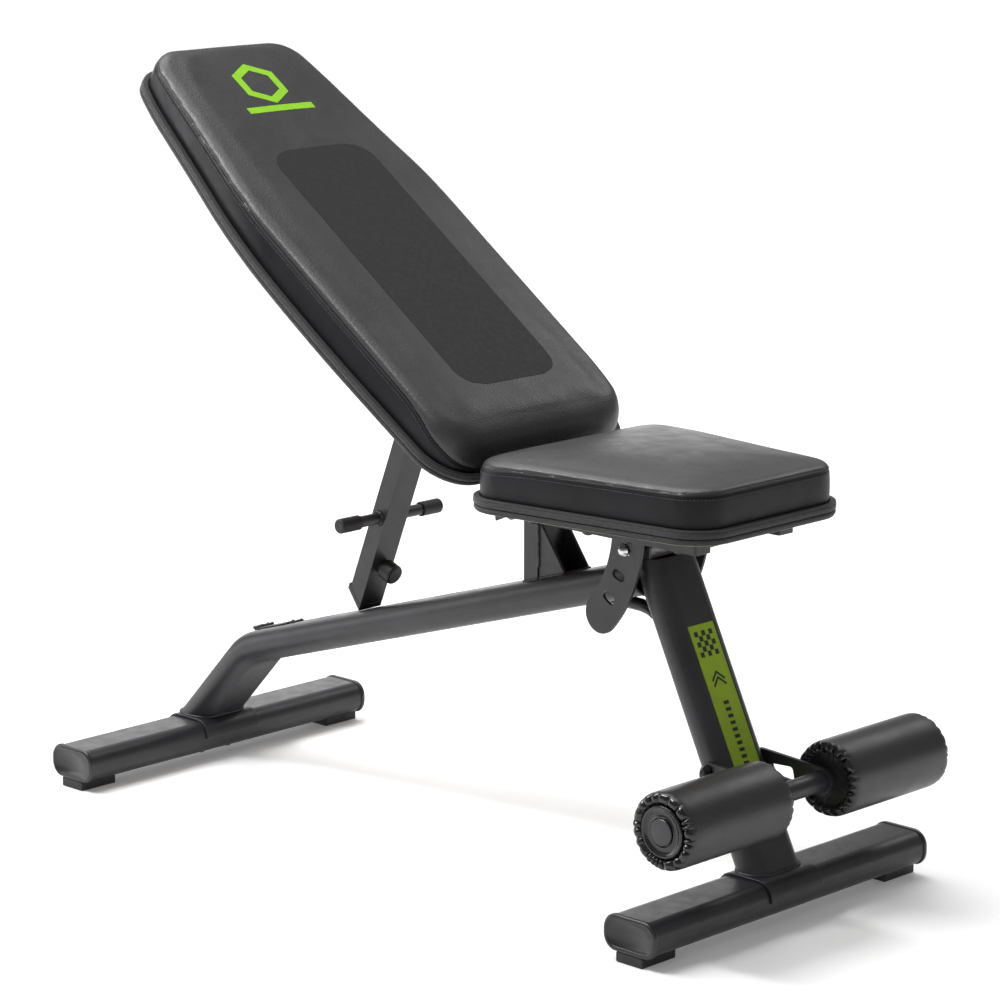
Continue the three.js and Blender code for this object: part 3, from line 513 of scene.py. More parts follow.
class Pad:
    """A boarded cushion: its seam and base outlines in its own frame, and where that frame is.

    seam_rise gives the seam's height at places along X. heights are the binding's lower and upper edges,
    the shoulder's top and the crown. shoulder is the radius that the cover turns over above the seam, reach
    is how far in from the seam the crown builds up, and falls is the share of it lost towards both ends.
    roll widens the shoulder at the rear end, and dent draws the middle of the front end in.
    """

    def __init__(self, name, body, node, place, seam, base, heights, seam_rise, shoulder,
                 reach=60, falls=0.0, roll=0, dent=0):
        self.name, self.body, self.node, self.place = name, body, node, place
        self.reach, self.falls = reach * MM, falls
        self.seam = closed_outline(mirrored(seam))
        self.base = closed_outline(mirrored(base))
        at_front = self.base[:, 0] > self.base[:, 0].max() - 1 * MM
        self.base[:, 0] -= at_front * dent * MM * np.exp(-(self.base[:, 1] / DENT_HALF) ** 6)
        self.bind_low, self.bind_high, self.shoulder_top, self.crown = [h * MM for h in heights]
        along, rise = zip(*seam_rise)
        self.seam_height = np.interp(self.seam[:, 0] / MM, along, rise) * MM
        self.shoulder = shoulder * MM
        at_rear = np.clip((ROLL_START - self.seam[:, 0]) / ROLL_LENGTH, 0, 1)
        slope = (self.shoulder_top - self.seam_height) * SHOULDER_SLOPE
        self.inset = np.maximum(self.shoulder, slope) + at_rear * roll * MM

    def along_seam(self, values, nearest):
        """Values given for the seam's points, at places along the seam in steps from its start."""
        steps = np.arange(len(self.seam) + 1)
        values = np.concatenate([values, values[:1]]).reshape(len(steps), -1)
        return np.stack([np.interp(nearest, steps, column) for column in values.T], -1)

    def above_seam(self, points):
        """How far points are in from the seam's outline, how high above the seam, and where along it."""
        depth, nearest = nearest_on_outline(points[:, :2], self.seam)
        return depth, points[:, 2] - self.along_seam(self.seam_height, nearest)[:, 0], nearest

    def world(self, points):
        """Points in the pad's frame as points in the scene."""
        turn = np.array(self.place.to_3x3())
        return np.asarray(points) @ turn.T + np.array(self.place.translation)

    def blend_ring(self, share, grow, height):
        """A ring between the base outline, share 0, and the seam outline, share 1."""
        outline = self.base * (1 - share) + self.seam * share
        return ring_at(outline, grow, height)

    def band_ring(self, share, grow=0.0):
        """A ring on the side band: share goes from the binding's upper edge to the seam."""
        height = self.bind_high + (self.seam_height - self.bind_high) * share
        return self.blend_ring(share, grow - BAND_INSET * (1 - share), height)


COVER_FLOOR = 4 * MM
COVER_HEM = (20 * MM, 1 * MM)
BAND_BULGE = 0.8 * MM
BAND_SHARES = (0, 0.25, 0.5, 0.75, 1)
SHOULDER_TURNS = (15, 30, 45, 60, 75, 90)


def cushion_base(pad):
    """The cover before it swells: side band, seam and rounded shoulder, with a flat top."""
    floor = pad.bind_low + COVER_FLOOR
    rings = [pad.blend_ring(0, -BAND_INSET - tucked, floor) for tucked in COVER_HEM]
    for share in BAND_SHARES:
        rings.append(pad.band_ring(share, BAND_BULGE * math.sin(math.pi * share)))
    rise = pad.shoulder_top - pad.seam_height
    for turn in np.radians(SHOULDER_TURNS):
        grow = -pad.inset * (1 - math.cos(turn))
        rings.append(ring_at(pad.seam, grow[:, None], pad.seam_height + rise * math.sin(turn)))
    return stack(rings)


def coordinates(mesh):
    points = np.zeros(len(mesh.vertices) * 3, np.float32)
    mesh.vertices.foreach_get("co", points)
    return points.reshape(-1, 3).astype(float)


def put_coordinates(mesh, points):
    mesh.vertices.foreach_set("co", points.astype(np.float32).ravel())
    mesh.update()


def calmed(mesh, moved):
    """Averages each point's movement with its neighbours' many times, which leaves the broad swelling."""
    ends = np.array([edge.vertices[:] for edge in mesh.edges])
    count = np.bincount(ends.ravel(), minlength=len(moved))[:, None]
    for _ in range(CALM_PASSES):
        total = np.zeros_like(moved)
        np.add.at(total, ends[:, 0], moved[ends[:, 1]])
        np.add.at(total, ends[:, 1], moved[ends[:, 0]])
        moved = (moved + total / count) / 2
    return moved


CLOTH = {
    "quality": 5, "mass": 0.3, "tension_stiffness": 25, "compression_stiffness": 25, "bending_stiffness": 2,
    "use_pressure": True, "uniform_pressure_force": 4, "vertex_group_mass": "pin"}
CLOTH_FRAMES = 20
CALM_PASSES = 40
SWELL_CAP = 3 * MM


def swell(mesh, pinned):
    """Blows the cover up with cloth, holding the pinned points and letting none move further than SWELL_CAP."""
    start = coordinates(mesh)
    holder = add_object("swelling", mesh)
    group = holder.vertex_groups.new(name="pin")
    group.add([int(i) for i in np.flatnonzero(pinned)], 1.0, "REPLACE")
    cloth = holder.modifiers.new("cloth", "CLOTH")
    for key, value in CLOTH.items():
        setattr(cloth.settings, key, value)
    cloth.settings.effector_weights.gravity = 0
    cloth.point_cache.frame_start = 1
    cloth.point_cache.frame_end = CLOTH_FRAMES
    for step in range(1, CLOTH_FRAMES + 1):
        bpy.context.scene.frame_set(step)
    swollen = evaluated_mesh(holder)
    bpy.data.objects.remove(holder)
    bpy.context.scene.frame_set(1)
    moved = calmed(swollen, coordinates(swollen) - start)
    length = np.linalg.norm(moved, axis=1, keepdims=True)
    put_coordinates(swollen, start + moved * np.minimum(1, SWELL_CAP / np.maximum(length, 1e-9)))
    return swollen


VOXEL = 5.5 * MM
CROWN_START = 14 * MM
SEAM_PINNED = 3.2 * MM
SEAM_SNAP = 1.4 * MM
SEAM_DEPTH = 8 * MM
SEAM_GROOVE = 1.2 * MM
SEAM_GROOVE_WIDTH = 2.6 * MM


def make_cushion(pad):
    """The cover: remeshed, crowned and swollen, then snapped to its seam, which is drawn in as a groove."""
    solid = mesh_from(pad.name + "_cover", *cushion_base(pad))
    mesh = modified(solid, ("REMESH", {"mode": "VOXEL", "voxel_size": VOXEL}))
    points = coordinates(mesh)
    depth, above, _ = pad.above_seam(points)
    top = np.clip((points[:, 2] - pad.shoulder_top) / CROWN_START + 1, 0, 1) * (above > 0)
    front, rear = pad.seam[:, 0].max(), pad.seam[:, 0].min()
    along = (2 * points[:, 0] - front - rear) / (front - rear)
    bulge = (pad.crown - pad.shoulder_top) * (1 - pad.falls * along ** 2)
    points[:, 2] += top * bulge * (1 - np.exp(-np.maximum(depth - pad.shoulder, 0) / pad.reach))
    put_coordinates(mesh, points)
    below = points[:, 2] < pad.bind_high + 1 * MM
    mesh = modified(swell(mesh, (np.abs(above) < SEAM_PINNED) | below), ("SUBSURF", {"levels": 1}))
    points = coordinates(mesh)
    depth, above, nearest = pad.above_seam(points)
    near_seam = depth < SEAM_DEPTH
    on_seam = (np.abs(above) < SEAM_SNAP) & near_seam
    points[on_seam, 2] -= above[on_seam]
    above[on_seam] = 0
    groove = SEAM_GROOVE * np.exp(-(above / SEAM_GROOVE_WIDTH) ** 2) * near_seam
    points[:, :2] -= pad.along_seam(outward(pad.seam), nearest) * groove[:, None]
    put_coordinates(mesh, points)
    heights = np.array([np.mean([above[i] for i in polygon.vertices]) for polygon in mesh.polygons])
    put_coordinates(mesh, pad.world(points))
    piece = new_piece(pad.name + "_cushion_cover", mesh, pad.body, "vinyl", TOP_VINYL, SIDE_VINYL, smooth=180)
    piece.data.polygons.foreach_set("material_index", (heights < 0).astype(np.int32))
    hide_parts(pad.node)
    return piece


def ring_piece(pad, name, sections, material):
    """A closed ring round the pad from sections (grow, height) in order round its cross-section."""
    rings = [pad.blend_ring(0, grow * MM, height) for grow, height in sections]
    points = pad.world(np.concatenate(rings))
    faces = grid_faces(len(rings), len(rings[0]), wrap_rows=True)
    return new_piece(f"{pad.name}_{name}", mesh_from(name, points, faces), pad.body, "vinyl", material, smooth=50)


# the tape's section: how far out in millimetres, and the share of the binding's height
BINDING_RIBS = (
    (-13, 0.0), (-1.8, 0.0), (0.0, 0.03), (0.8, 0.1), (0.9, 0.24), (0.1, 0.33), (-2.2, 0.35), (-2.2, 0.39),
    (0.2, 0.41), (1.3, 0.5), (1.5, 0.66), (1.2, 0.84), (0.6, 0.87), (1.0, 0.9), (0.9, 0.97), (-0.6, 1.0),
    (-5.6, 1.0), (-6.2, 0.82), (-13, 0.82))
# the pale edge under it: how far out, and the height from the binding's lower edge
UNDER_EDGE_SECTION = ((-12, -1.6), (-1.6, -1.6), (-0.8, -0.9), (-1.6, -0.2), (-12, -0.2))


def make_binding(pad):
    """The edge tape: a wide upper rib and a narrow lower one, a dark groove between and a raised top edge."""
    low = pad.bind_low
    ribs = [(grow, low + (pad.bind_high - low) * share) for grow, share in BINDING_RIBS]
    edge = [(grow, low + rise * MM) for grow, rise in UNDER_EDGE_SECTION]
    return [ring_piece(pad, "binding", ribs, BINDING), ring_piece(pad, "under_edge", edge, UNDER_EDGE)]


def surface_of(cover):
    mesh = cover.data
    return BVHTree.FromPolygons([v.co for v in mesh.vertices], [tuple(p.vertices) for p in mesh.polygons])


def on_cover(cover, points, lift):
    """Points moved onto the cover's nearest place, then off it by lift."""
    surface = surface_of(cover)
    placed = []
    for point in points:
        spot, normal = surface.find_nearest(Vector(point))[:2]
        placed.append(np.array(spot + normal * lift))
    return np.array(placed)


def smoothed(line):
    """A closed line with each point averaged with its neighbours, twice."""
    for _ in range(2):
        line = (np.roll(line, 1, 0) + 2 * line + np.roll(line, -1, 0)) / 4
    return line


def even_steps(line, step):
    """A closed line with its points moved to an even spacing."""
    closed = np.vstack([line, line[:1]])
    run = distances(closed)
    return along_line(closed, run, np.linspace(0, run[-1], int(run[-1] / step), endpoint=False))


STITCH_PITCH = 4.4 * MM
STITCH_LENGTH = 3.0 * MM
STITCH_RADIUS = 0.42 * MM
STITCH_DROP = 5.5 * MM
STITCH_OUT = 0.3 * MM
STITCH_LIFT = 0.05 * MM
WELT_RADIUS = 1.1 * MM
WELT_LIFT = -0.1 * MM


def stitches(line):
    """Short threads laid end to end along a closed line, thinner at their ends."""
    closed = np.vstack([line, line[:1]])
    run = distances(closed)
    count = int(run[-1] / STITCH_PITCH)
    parts = []
    for i in range(count):
        spots = i * run[-1] / count + STITCH_LENGTH * np.array([0, 0.25, 0.75, 1])
        radii = STITCH_RADIUS * np.array([0.4, 1, 1, 0.4])
        parts.append(tube(along_line(closed, run, np.minimum(spots, run[-1])), radii, 5))
    return mesh_from("stitches", *merge(parts))


def make_seam(pad, cover):
    """The rolled edge along the seam and the line of stitches below it."""
    line = even_steps(pad.world(ring_at(pad.seam, 0, pad.seam_height)), 4 * MM)
    welt = mesh_from("welt", *tube(smoothed(on_cover(cover, line, WELT_LIFT)), WELT_RADIUS, closed=True))
    roll = new_piece(pad.name + "_seam_welt", welt, pad.body, "vinyl", SIDE_VINYL)
    drop = np.minimum(STITCH_DROP, (pad.seam_height - pad.bind_high) * 0.5)
    lower = even_steps(pad.world(ring_at(pad.seam, STITCH_OUT, pad.seam_height - drop)), 3 * MM)
    threads = stitches(smoothed(on_cover(cover, lower, STITCH_LIFT)))
    return [roll, new_piece(pad.name + "_stitches", threads, pad.body, "vinyl", THREAD)]


BACK_ANGLE = math.radians(35.5)
BACK_HINGE = Vector(JOINTS["backrest_hinge"]["pos_m"])
BACK_PLACE = Matrix.Translation(BACK_HINGE) @ Matrix.Rotation(BACK_ANGLE, 4, "Y")

BACKREST = Pad(
    "backrest", "backrest", "backrest_cushion", BACK_PLACE,
    seam=[(44, 167, 62), (-235, 167, 60), (-420, 167, 45), (-520, 150, 45), (-640, 133, 26), (-708, 120, 40)],
    base=[(52, 170, 60), (-235, 184, 100), (-400, 178, 60), (-530, 154, 50), (-650, 134, 32), (-714, 114, 32)],
    heights=(10.5, 25.5, 72, 75),
    seam_rise=[(-60, 58.5), (-35, 55.5), (-11, 50), (14.5, 42), (37.6, 31), (44, 28.5)],
    shoulder=13, dent=16)

SEAT = Pad(
    "seat", "seat", "seat_cushion", Matrix.Identity(4),
    seam=[(476, 127, 44), (132, 171, 54)],
    base=[(482, 133, 46), (125, 178, 58)],
    heights=(470, 486, 533, 543),
    seam_rise=[(132, 519), (230, 524), (476, 526)],
    shoulder=16, reach=38, falls=0.75, roll=18)


# ---- marks on the backrest and the post

def on_crown(pad, cover, flat, lift):
    """Points in the pad's X and Y dropped onto its cover, then raised by lift."""
    surface = surface_of(cover)
    up = np.array(pad.place.to_3x3().col[2])
    starts = pad.world(np.column_stack([flat, np.full(len(flat), pad.crown + 60 * MM)]))
    placed = []
    for start in starts:
        hit = surface.ray_cast(Vector(start), Vector(-up), 0.2)[0]
        placed.append(np.array(hit) + up * lift)
    return np.array(placed)


PRINT_LIFT = 0.35 * MM
PRINT_SUNK = 0.6 * MM


def printed(pad, cover, name, rows, columns, place, material, closed=False):
    """A thin printed or bonded layer: place(u, v) gives its X and Y in the pad for u and v from 0 to 1.

    Where it is closed, v goes all the way round and the layer joins up with itself.
    """
    last = columns if closed else columns - 1
    flat = np.array([place(r / (rows - 1), c / last) for r in range(rows) for c in range(columns)])
    upper = on_crown(pad, cover, flat, PRINT_LIFT)
    lower = on_crown(pad, cover, flat, -PRINT_SUNK)
    count = rows * columns
    faces = grid_faces(rows, columns, wrap_columns=closed)
    under = [tuple(i + count for i in reversed(face)) for face in faces]
    edges = {(a, b) for face in faces for a, b in zip(face, face[1:] + face[:1])}
    walls = [(a, b, b + count, a + count) for a, b in sorted(edges) if (b, a) not in edges]
    mesh = mesh_from(name, np.concatenate([upper, lower]), faces + under + walls)
    return new_piece(name, mesh, pad.body, "vinyl", material, smooth=60)


PANEL_LOW = -488
PANEL_HIGH = -46
PANEL_HALF = 84
PANEL_ROUND = 34
MARK_AT = -616
MARK_RADIUS = 40
MARK_WIDTH = 13
BAR_AT = MARK_AT + 44
BAR_WIDTH = 11
BAR_HALF = 56


def grip_panel(u, v):
    """A long panel with rounded corners: u goes along it and v across."""
    x = PANEL_LOW + (PANEL_HIGH - PANEL_LOW) * u
    edge = max(PANEL_ROUND - min(x - PANEL_LOW, PANEL_HIGH - x), 0)
    half = PANEL_HALF - PANEL_ROUND + math.sqrt(max(PANEL_ROUND ** 2 - edge ** 2, 0))
    return x * MM, half * (2 * v - 1) * MM


def hexagon_ring(u, v):
    """A plain six-sided ring: u goes across its width and v round it."""
    turn = 2 * math.pi * v
    sector = (turn % (math.pi / 3)) - math.pi / 6
    radius = (MARK_RADIUS - MARK_WIDTH * u) * math.cos(math.pi / 6) / math.cos(sector)
    return (MARK_AT + radius * math.cos(turn)) * MM, radius * math.sin(turn) * MM


def plain_bar(u, v):
    return (BAR_AT + BAR_WIDTH * u) * MM, BAR_HALF * (2 * v - 1) * MM


def make_marks(cover):
    printed(BACKREST, cover, "grip_panel", 81, 25, grip_panel, GRIP)
    printed(BACKREST, cover, "hexagon_mark", 4, 96, hexagon_ring, GREEN_INK, closed=True)
    printed(BACKREST, cover, "bar_mark", 4, 25, plain_bar, GREEN_INK)


# ---- foam rollers

PLEATS = 23
PLEAT_STEPS = PLEATS * 16
PLEAT_PULL = 2.0 * MM
PLEAT_DEPTH = 5.0 * MM
PLEAT_PUFF = 1.6 * MM
ROLLER_RADIUS = 46.4
ROLLER_RINGS = 14
GATHERED = 4 * MM
ROLLER_ENDS = (
    # radius, distance from the end, how deep the pleats are there
    (13.2, 7.4, 0), (31, 7.4, 0.1), (32.6, 5.2, 0.7), (34, 2.4, 1), (36.2, 0.5, 1), (38.6, 0, 1), (41, 0.5, 0.9),
    (43.2, 2.0, 0.62), (44.8, 4.2, 0.34), (45.9, 7.2, 0.14), (46.3, 11, 0.04), (ROLLER_RADIUS, 16, 0),
    (ROLLER_RADIUS, 22, 0))


def pleat_phase(turn):
    """Counts up by one over each pleat as it goes round: the pleats have uneven widths."""
    widths = RNG.uniform(0.45, 1.7, PLEATS)
    edges = np.concatenate([[0], np.cumsum(widths)]) / widths.sum() * 2 * math.pi
    return np.interp(turn, edges, np.arange(PLEATS + 1))


def make_roller(side, sign):
    """The foam roller's cover: a plain middle, and ends gathered in uneven pleats."""
    low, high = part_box(f"foam_roller_{side}")
    centre = (low + high) / 2
    inner, outer = sorted((abs(low.y), abs(high.y)))
    turn = np.arange(PLEAT_STEPS) * 2 * math.pi / PLEAT_STEPS
    drift = sum(RNG.uniform(0.3, 0.6) * np.sin(k * turn + RNG.uniform(0, 6)) for k in (2, 3, 5, 8)) * 0.3 * MM
    rows = []
    for y_end, direction, ends in ((inner, 1, ROLLER_ENDS), (outer, -1, ROLLER_ENDS[::-1])):
        phase = pleat_phase(turn)
        size = RNG.uniform(0.45, 1.25, PLEATS + 1)[phase.astype(int)]
        lean = RNG.uniform(-0.5, 0.5, PLEATS + 1)[phase.astype(int)]
        crease = RNG.uniform(-1, 1, len(turn))
        crease = np.convolve(np.concatenate([crease[-2:], crease, crease[:2]]), np.ones(5) / 5, "valid")
        for radius, away, depth in ends:
            share = (phase + lean * 0.12 * (radius - 38) / 8) % 1
            fold = np.abs(np.sin(math.pi * share)) ** 0.55
            sunk = depth * (1 - fold) * size
            puff = depth * fold * (size - 0.8) * PLEAT_PUFF
            radii = radius * MM - sunk * PLEAT_PULL + drift * (radius > 40) + crease * depth * 0.5 * MM
            along = y_end + direction * (away * MM + sunk * PLEAT_DEPTH - puff + crease * depth * 0.9 * MM)
            rows.append((radii, np.clip(along, inner - 2 * MM, outer + 2 * MM)))
        if direction == 1:
            for y in np.linspace(inner + 30 * MM, outer - 30 * MM, ROLLER_RINGS):
                rows.append((ROLLER_RADIUS * MM + drift * 0.35, np.full(len(turn), y)))
    rings = [np.stack([centre.x + radii * np.cos(turn), sign * along, centre.z + radii * np.sin(turn)], 1)
             for radii, along in rows]
    mesh = mesh_from("roller", *stack(rings))
    piece = new_piece(f"roller_cover_{side}", mesh, f"roller_{side}", "vinyl", ROLLER_VINYL, PLEAT_VINYL, smooth=70)
    away = [min(abs(p.center.y) - inner, outer - abs(p.center.y)) for p in mesh.polygons]
    mesh.polygons.foreach_set("material_index", [int(distance < GATHERED) for distance in away])
    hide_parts(f"foam_roller_{side}")


# sections as radius and height from the disc's back or the axle's end
DISC_SECTION = (
    (13, 0), (30.2, 0), (31, 0.8), (31.2, 3.2), (30.6, 4.8), (29.4, 5.6), (28.0, 5.5), (26.6, 4.4),
    (24.6, 3.2), (22.4, 2.7), (19.6, 2.9), (18.0, 3.6), (17.4, 4.2), (16.9, 4.0), (16.7, 2.2), (13, 2.2))
AXLE_CAP_SECTION = (
    (0.05, -12), (9.8, -12), (9.8, 0.3), (15.4, 0.3), (16.0, 0.9), (16.0, 1.8), (15.2, 2.7), (13.6, 3.0), (0.05, 3.2))
DISC_STEPS = 72
AXLE_CAP_STEPS = 48


def turned(centre, section, start, sign, steps):
    """Rings of points round an axis along Y, one for each point of the section."""
    turn = np.arange(steps) * 2 * math.pi / steps
    return [np.stack([centre.x + r * MM * np.cos(turn), np.full(steps, sign * (start + y * MM)),
                      centre.z + r * MM * np.sin(turn)], 1) for r, y in section]


def make_roller_disc(side, sign):
    """The end disc: a raised rim, a dished face and a groove round the centre cap."""
    low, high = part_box(f"roller_disc_{side}")
    rings = turned((low + high) / 2, DISC_SECTION, min(abs(low.y), abs(high.y)), sign, DISC_STEPS)
    mesh = mesh_from("disc", np.concatenate(rings), grid_faces(len(rings), DISC_STEPS, wrap_rows=True))
    piece = new_piece(f"roller_disc_rim_{side}", mesh, f"roller_{side}", "black_plastic", DISC_PLASTIC, smooth=50)
    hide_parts(f"roller_disc_{side}")


def make_axle_cap(side, sign):
    """The flat cap pressed into the axle's end."""
    low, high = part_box("roller_axle")
    rings = turned((low + high) / 2, AXLE_CAP_SECTION, high.y, sign, AXLE_CAP_STEPS)
    mesh = mesh_from("cap", *stack(rings))
    new_piece(f"roller_axle_cap_{side}", mesh, "frame", "black_plastic", HUB_PLASTIC, smooth=35)


# ---- frame details

CAP_ROUND = 18 * MM
CAP_STEPS = 10
CAP_GAP = 0.5 * MM
# how far the end cap stands out all round, and how far along from its inner edge
CAP_SECTION = (
    (-5, 0), (0.6, 0), (1.4, 0.8), (1.6, 2.2), (1.4, 4.8), (0.4, 6.3), (-1.4, 7.2), (-3.4, 7.2), (-4.6, 6.2),
    (-5.4, 5.2))


def cap_ring(across, tall, grow):
    """A rounded rectangle in X and Z as points, grown outwards."""
    half_x, half_z = across / 2 + grow, tall / 2 + grow
    r = CAP_ROUND + grow
    points = []
    for cx, cz, start in ((1, 1, 0), (-1, 1, 90), (-1, -1, 180), (1, -1, 270)):
        for step in range(CAP_STEPS + 1):
            angle = math.radians(start + 90 * step / CAP_STEPS)
            points.append((cx * (half_x - r) + r * math.cos(angle), cz * (half_z - r) + r * math.sin(angle)))
    return np.array(points)


def make_cap(end, side, sign):
    """The crossbar's end cap: a collar with a soft edge and a face set back inside it."""
    bar_low, bar_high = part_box(f"{end}_crossbar")
    centre = (bar_low + bar_high) / 2
    across, tall = bar_high.x - bar_low.x, bar_high.z - bar_low.z
    start = bar_high.y + CAP_GAP
    lowest = -tall / 2 + 0.02 * MM
    rings = []
    for grow, out in CAP_SECTION:
        flat = cap_ring(across, tall, grow * MM)
        rings.append(np.column_stack([centre.x + flat[:, 0], np.full(len(flat), sign * (start + out * MM)),
                                      centre.z + np.maximum(flat[:, 1], lowest)]))
    mesh = mesh_from("cap", *stack(rings))
    piece = new_piece(f"{end}_end_cap_{side}", mesh, "frame", "black_plastic", CAP_PLASTIC, smooth=55)
    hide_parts(f"{end}_cap_{side}")


def rim_of(node, keep, axes):
    """The outer loop of a CAD node's points that keep accepts, in order round them."""
    points = [v.co.copy() for v in CAD[node].data.vertices if keep(v.co)]
    hull = convex_hull_2d([Vector((p[axes[0]], p[axes[1]])) for p in points])
    return np.array([points[i][:] for i in hull])


BEAD_STEP = 1.3 * MM
BEAD_RADIUS = 2.3 * MM
THIN_BEAD_RADIUS = 1.9 * MM
SPINE_END = 0.28


def weld(name, path, radii, body="frame", closed=False):
    mesh = mesh_from(name, *tube(path, radii, closed=closed))
    new_piece(name, mesh, body, "frame_paint", STEEL, smooth=80)


def bead(name, loop, radius=BEAD_RADIUS):
    """A machine-made weld round a loop: a tube whose thickness ripples."""
    loop = np.vstack([loop, loop[:1]])
    run = distances(loop)
    count = int(run[-1] / BEAD_STEP)
    spots = np.linspace(0, run[-1], count, endpoint=False)
    radii = radius * (1 + 0.13 * np.sin(spots / MM * 2.1) + RNG.uniform(-0.08, 0.08, count))
    weld(name, along_line(loop, run, spots), radii, closed=True)


def make_welds():
    """The beads round the feet of the spine, posts and brace, and round the spine's front end."""
    spine_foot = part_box("main_spine")[0].z + 1 * MM
    post_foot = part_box("front_post")[0].z + 1 * MM
    centre_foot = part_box("centre_post")[1].z - 40 * MM
    brace_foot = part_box("centre_brace")[0].z + 16 * MM
    bead("spine_foot_weld", rim_of("main_spine", lambda p: p.z < spine_foot, (0, 1)))
    bead("post_foot_weld", rim_of("front_post", lambda p: p.z < post_foot, (0, 1)))
    bead("spine_end_weld", rim_of("main_spine", lambda p: p.x > SPINE_END, (1, 2)))
    bead("centre_post_weld", rim_of("centre_post", lambda p: p.z < centre_foot, (0, 1)), THIN_BEAD_RADIUS)
    bead("brace_weld", rim_of("centre_brace", lambda p: p.z < brace_foot, (0, 1)), THIN_BEAD_RADIUS)


def flat_ring(centre, radius, height, sides):
    """Points round a level circle."""
    turn = np.arange(sides) * 2 * math.pi / sides
    return np.stack([centre[0] + radius * np.cos(turn), centre[1] + radius * np.sin(turn), np.full(sides, height)], 1)


DOME_SIDES = 24
DOME_EDGE = 0.12
DOME_SHARES = (0, DOME_EDGE, 0.35, 0.55, 0.75, 0.9, 0.98)


def dome(centre, radius, height):
    """A domed bolt head that hangs down from centre, with an upright edge below DOME_EDGE of a quarter turn."""
    rings = []
    for share in DOME_SHARES:
        narrowed = math.cos(share * math.pi / 2) if share > DOME_EDGE else 1
        drop = height * math.sin(share * math.pi / 2)
        rings.append(flat_ring(centre, radius * narrowed, centre[2] - drop, DOME_SIDES))
    return stack(rings)


SEAT_BOLTS = (396, 315, 250, 160)
SEAT_BOLT_RADIUS = 8.4 * MM
SEAT_BOLT_HEIGHT = 6 * MM


def make_seat_bolts():
    for side, _ in SIDES:
        low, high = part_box(f"seat_rail_{side}")
        y = (low.y + high.y) / 2
        parts = [dome((x * MM, y, low.z + 0.1 * MM), SEAT_BOLT_RADIUS, SEAT_BOLT_HEIGHT) for x in SEAT_BOLTS]
        new_piece(f"seat_bolts_{side}", mesh_from("bolts", *merge(parts)), "seat", "black_steel", DARK_STEEL)


def measure_post():
    """The front face's centre line and the direction that it faces, from the post's own points."""
    points = [v.co for v in CAD["front_post"].data.vertices]
    heights = sorted(p.z for p in points)
    top = max((p for p in points if p.z > heights[-1] - 1 * MM), key=lambda p: p.x)
    foot = max((p for p in points if p.z < heights[0] + 1 * MM), key=lambda p: p.x)
    top, foot = Vector((top.x, 0, top.z)), Vector((foot.x, 0, foot.z))
    down = (foot - top).normalized()
    return top, foot, Vector((-down.z, 0, down.x))


POST_TOP, POST_FOOT, POST_OUT = measure_post()
LABEL_TOP = 0.2195
LABEL_END = 0.80
LABEL_HALF = 22.4
LABEL_LIFT = 0.25
CHECK = 6.4
CHEVRON = ((0, 0), (11, 12), (13, 10), (3.6, 0), (13, -10), (11, -12))


def label_layer(outline, low, high):
    """A thin layer on the post's front face from points (down from the label's top, across)."""
    length = (POST_FOOT - POST_TOP).length
    flat = [POST_TOP.lerp(POST_FOOT, LABEL_TOP + down * MM / length) + Vector((0, across * MM, 0))
            for down, across in outline]
    return stack([np.array([(point + POST_OUT * height * MM)[:] for point in flat]) for height in (low, high)])


def rectangle(top, length, left, width):
    return [(top, left), (top, left + width), (top + length, left + width), (top + length, left)]


def make_label():
    """A plain green label with a generic pattern: a chequered square, a chevron and a row of bars."""
    length = (POST_FOOT - POST_TOP).length / MM * (LABEL_END - LABEL_TOP)
    label = label_layer(rectangle(0, length, -LABEL_HALF, 2 * LABEL_HALF), 0, LABEL_LIFT)
    new_piece("post_label", mesh_from("post_label", *label), "frame", "frame_paint", GREEN_LABEL, smooth=30)
    marks = [rectangle(8 + row * CHECK, CHECK, -16 + column * CHECK, CHECK)
             for row in range(5) for column in range(5) if (row + column) % 2 == 0]
    marks += [[(top + down, across) for down, across in CHEVRON] for top in (58, 65)]
    marks += [rectangle(96 + i * 8.4, 4.4, -4.6, 9.2) for i in range(12)]
    pattern = merge([label_layer(mark, LABEL_LIFT - 0.1, LABEL_LIFT + 0.12) for mark in marks])
    new_piece("post_label_pattern", mesh_from("pattern", *pattern), "frame", "frame_paint", DARK_INK, smooth=30)


def lumpy(name, line, radius, body="frame", step=1.6 * MM, rough=0.3):
    """A hand-made weld along an open line: a tube whose thickness and course wander."""
    line = np.asarray(line, float)
    run = distances(line)
    count = max(int(run[-1] / step), 4)
    spots = np.linspace(0, run[-1], count)
    path = along_line(line, run, spots)
    path += RNG.uniform(-0.35, 0.35, path.shape) * radius * rough * 2
    radii = radius * (1 + rough * np.sin(spots / MM * 1.7) * 0.4 + RNG.uniform(-rough, rough, count) * 0.6)
    radii[[0, -1]] = radius * 0.4
    weld(name, path, radii, body)


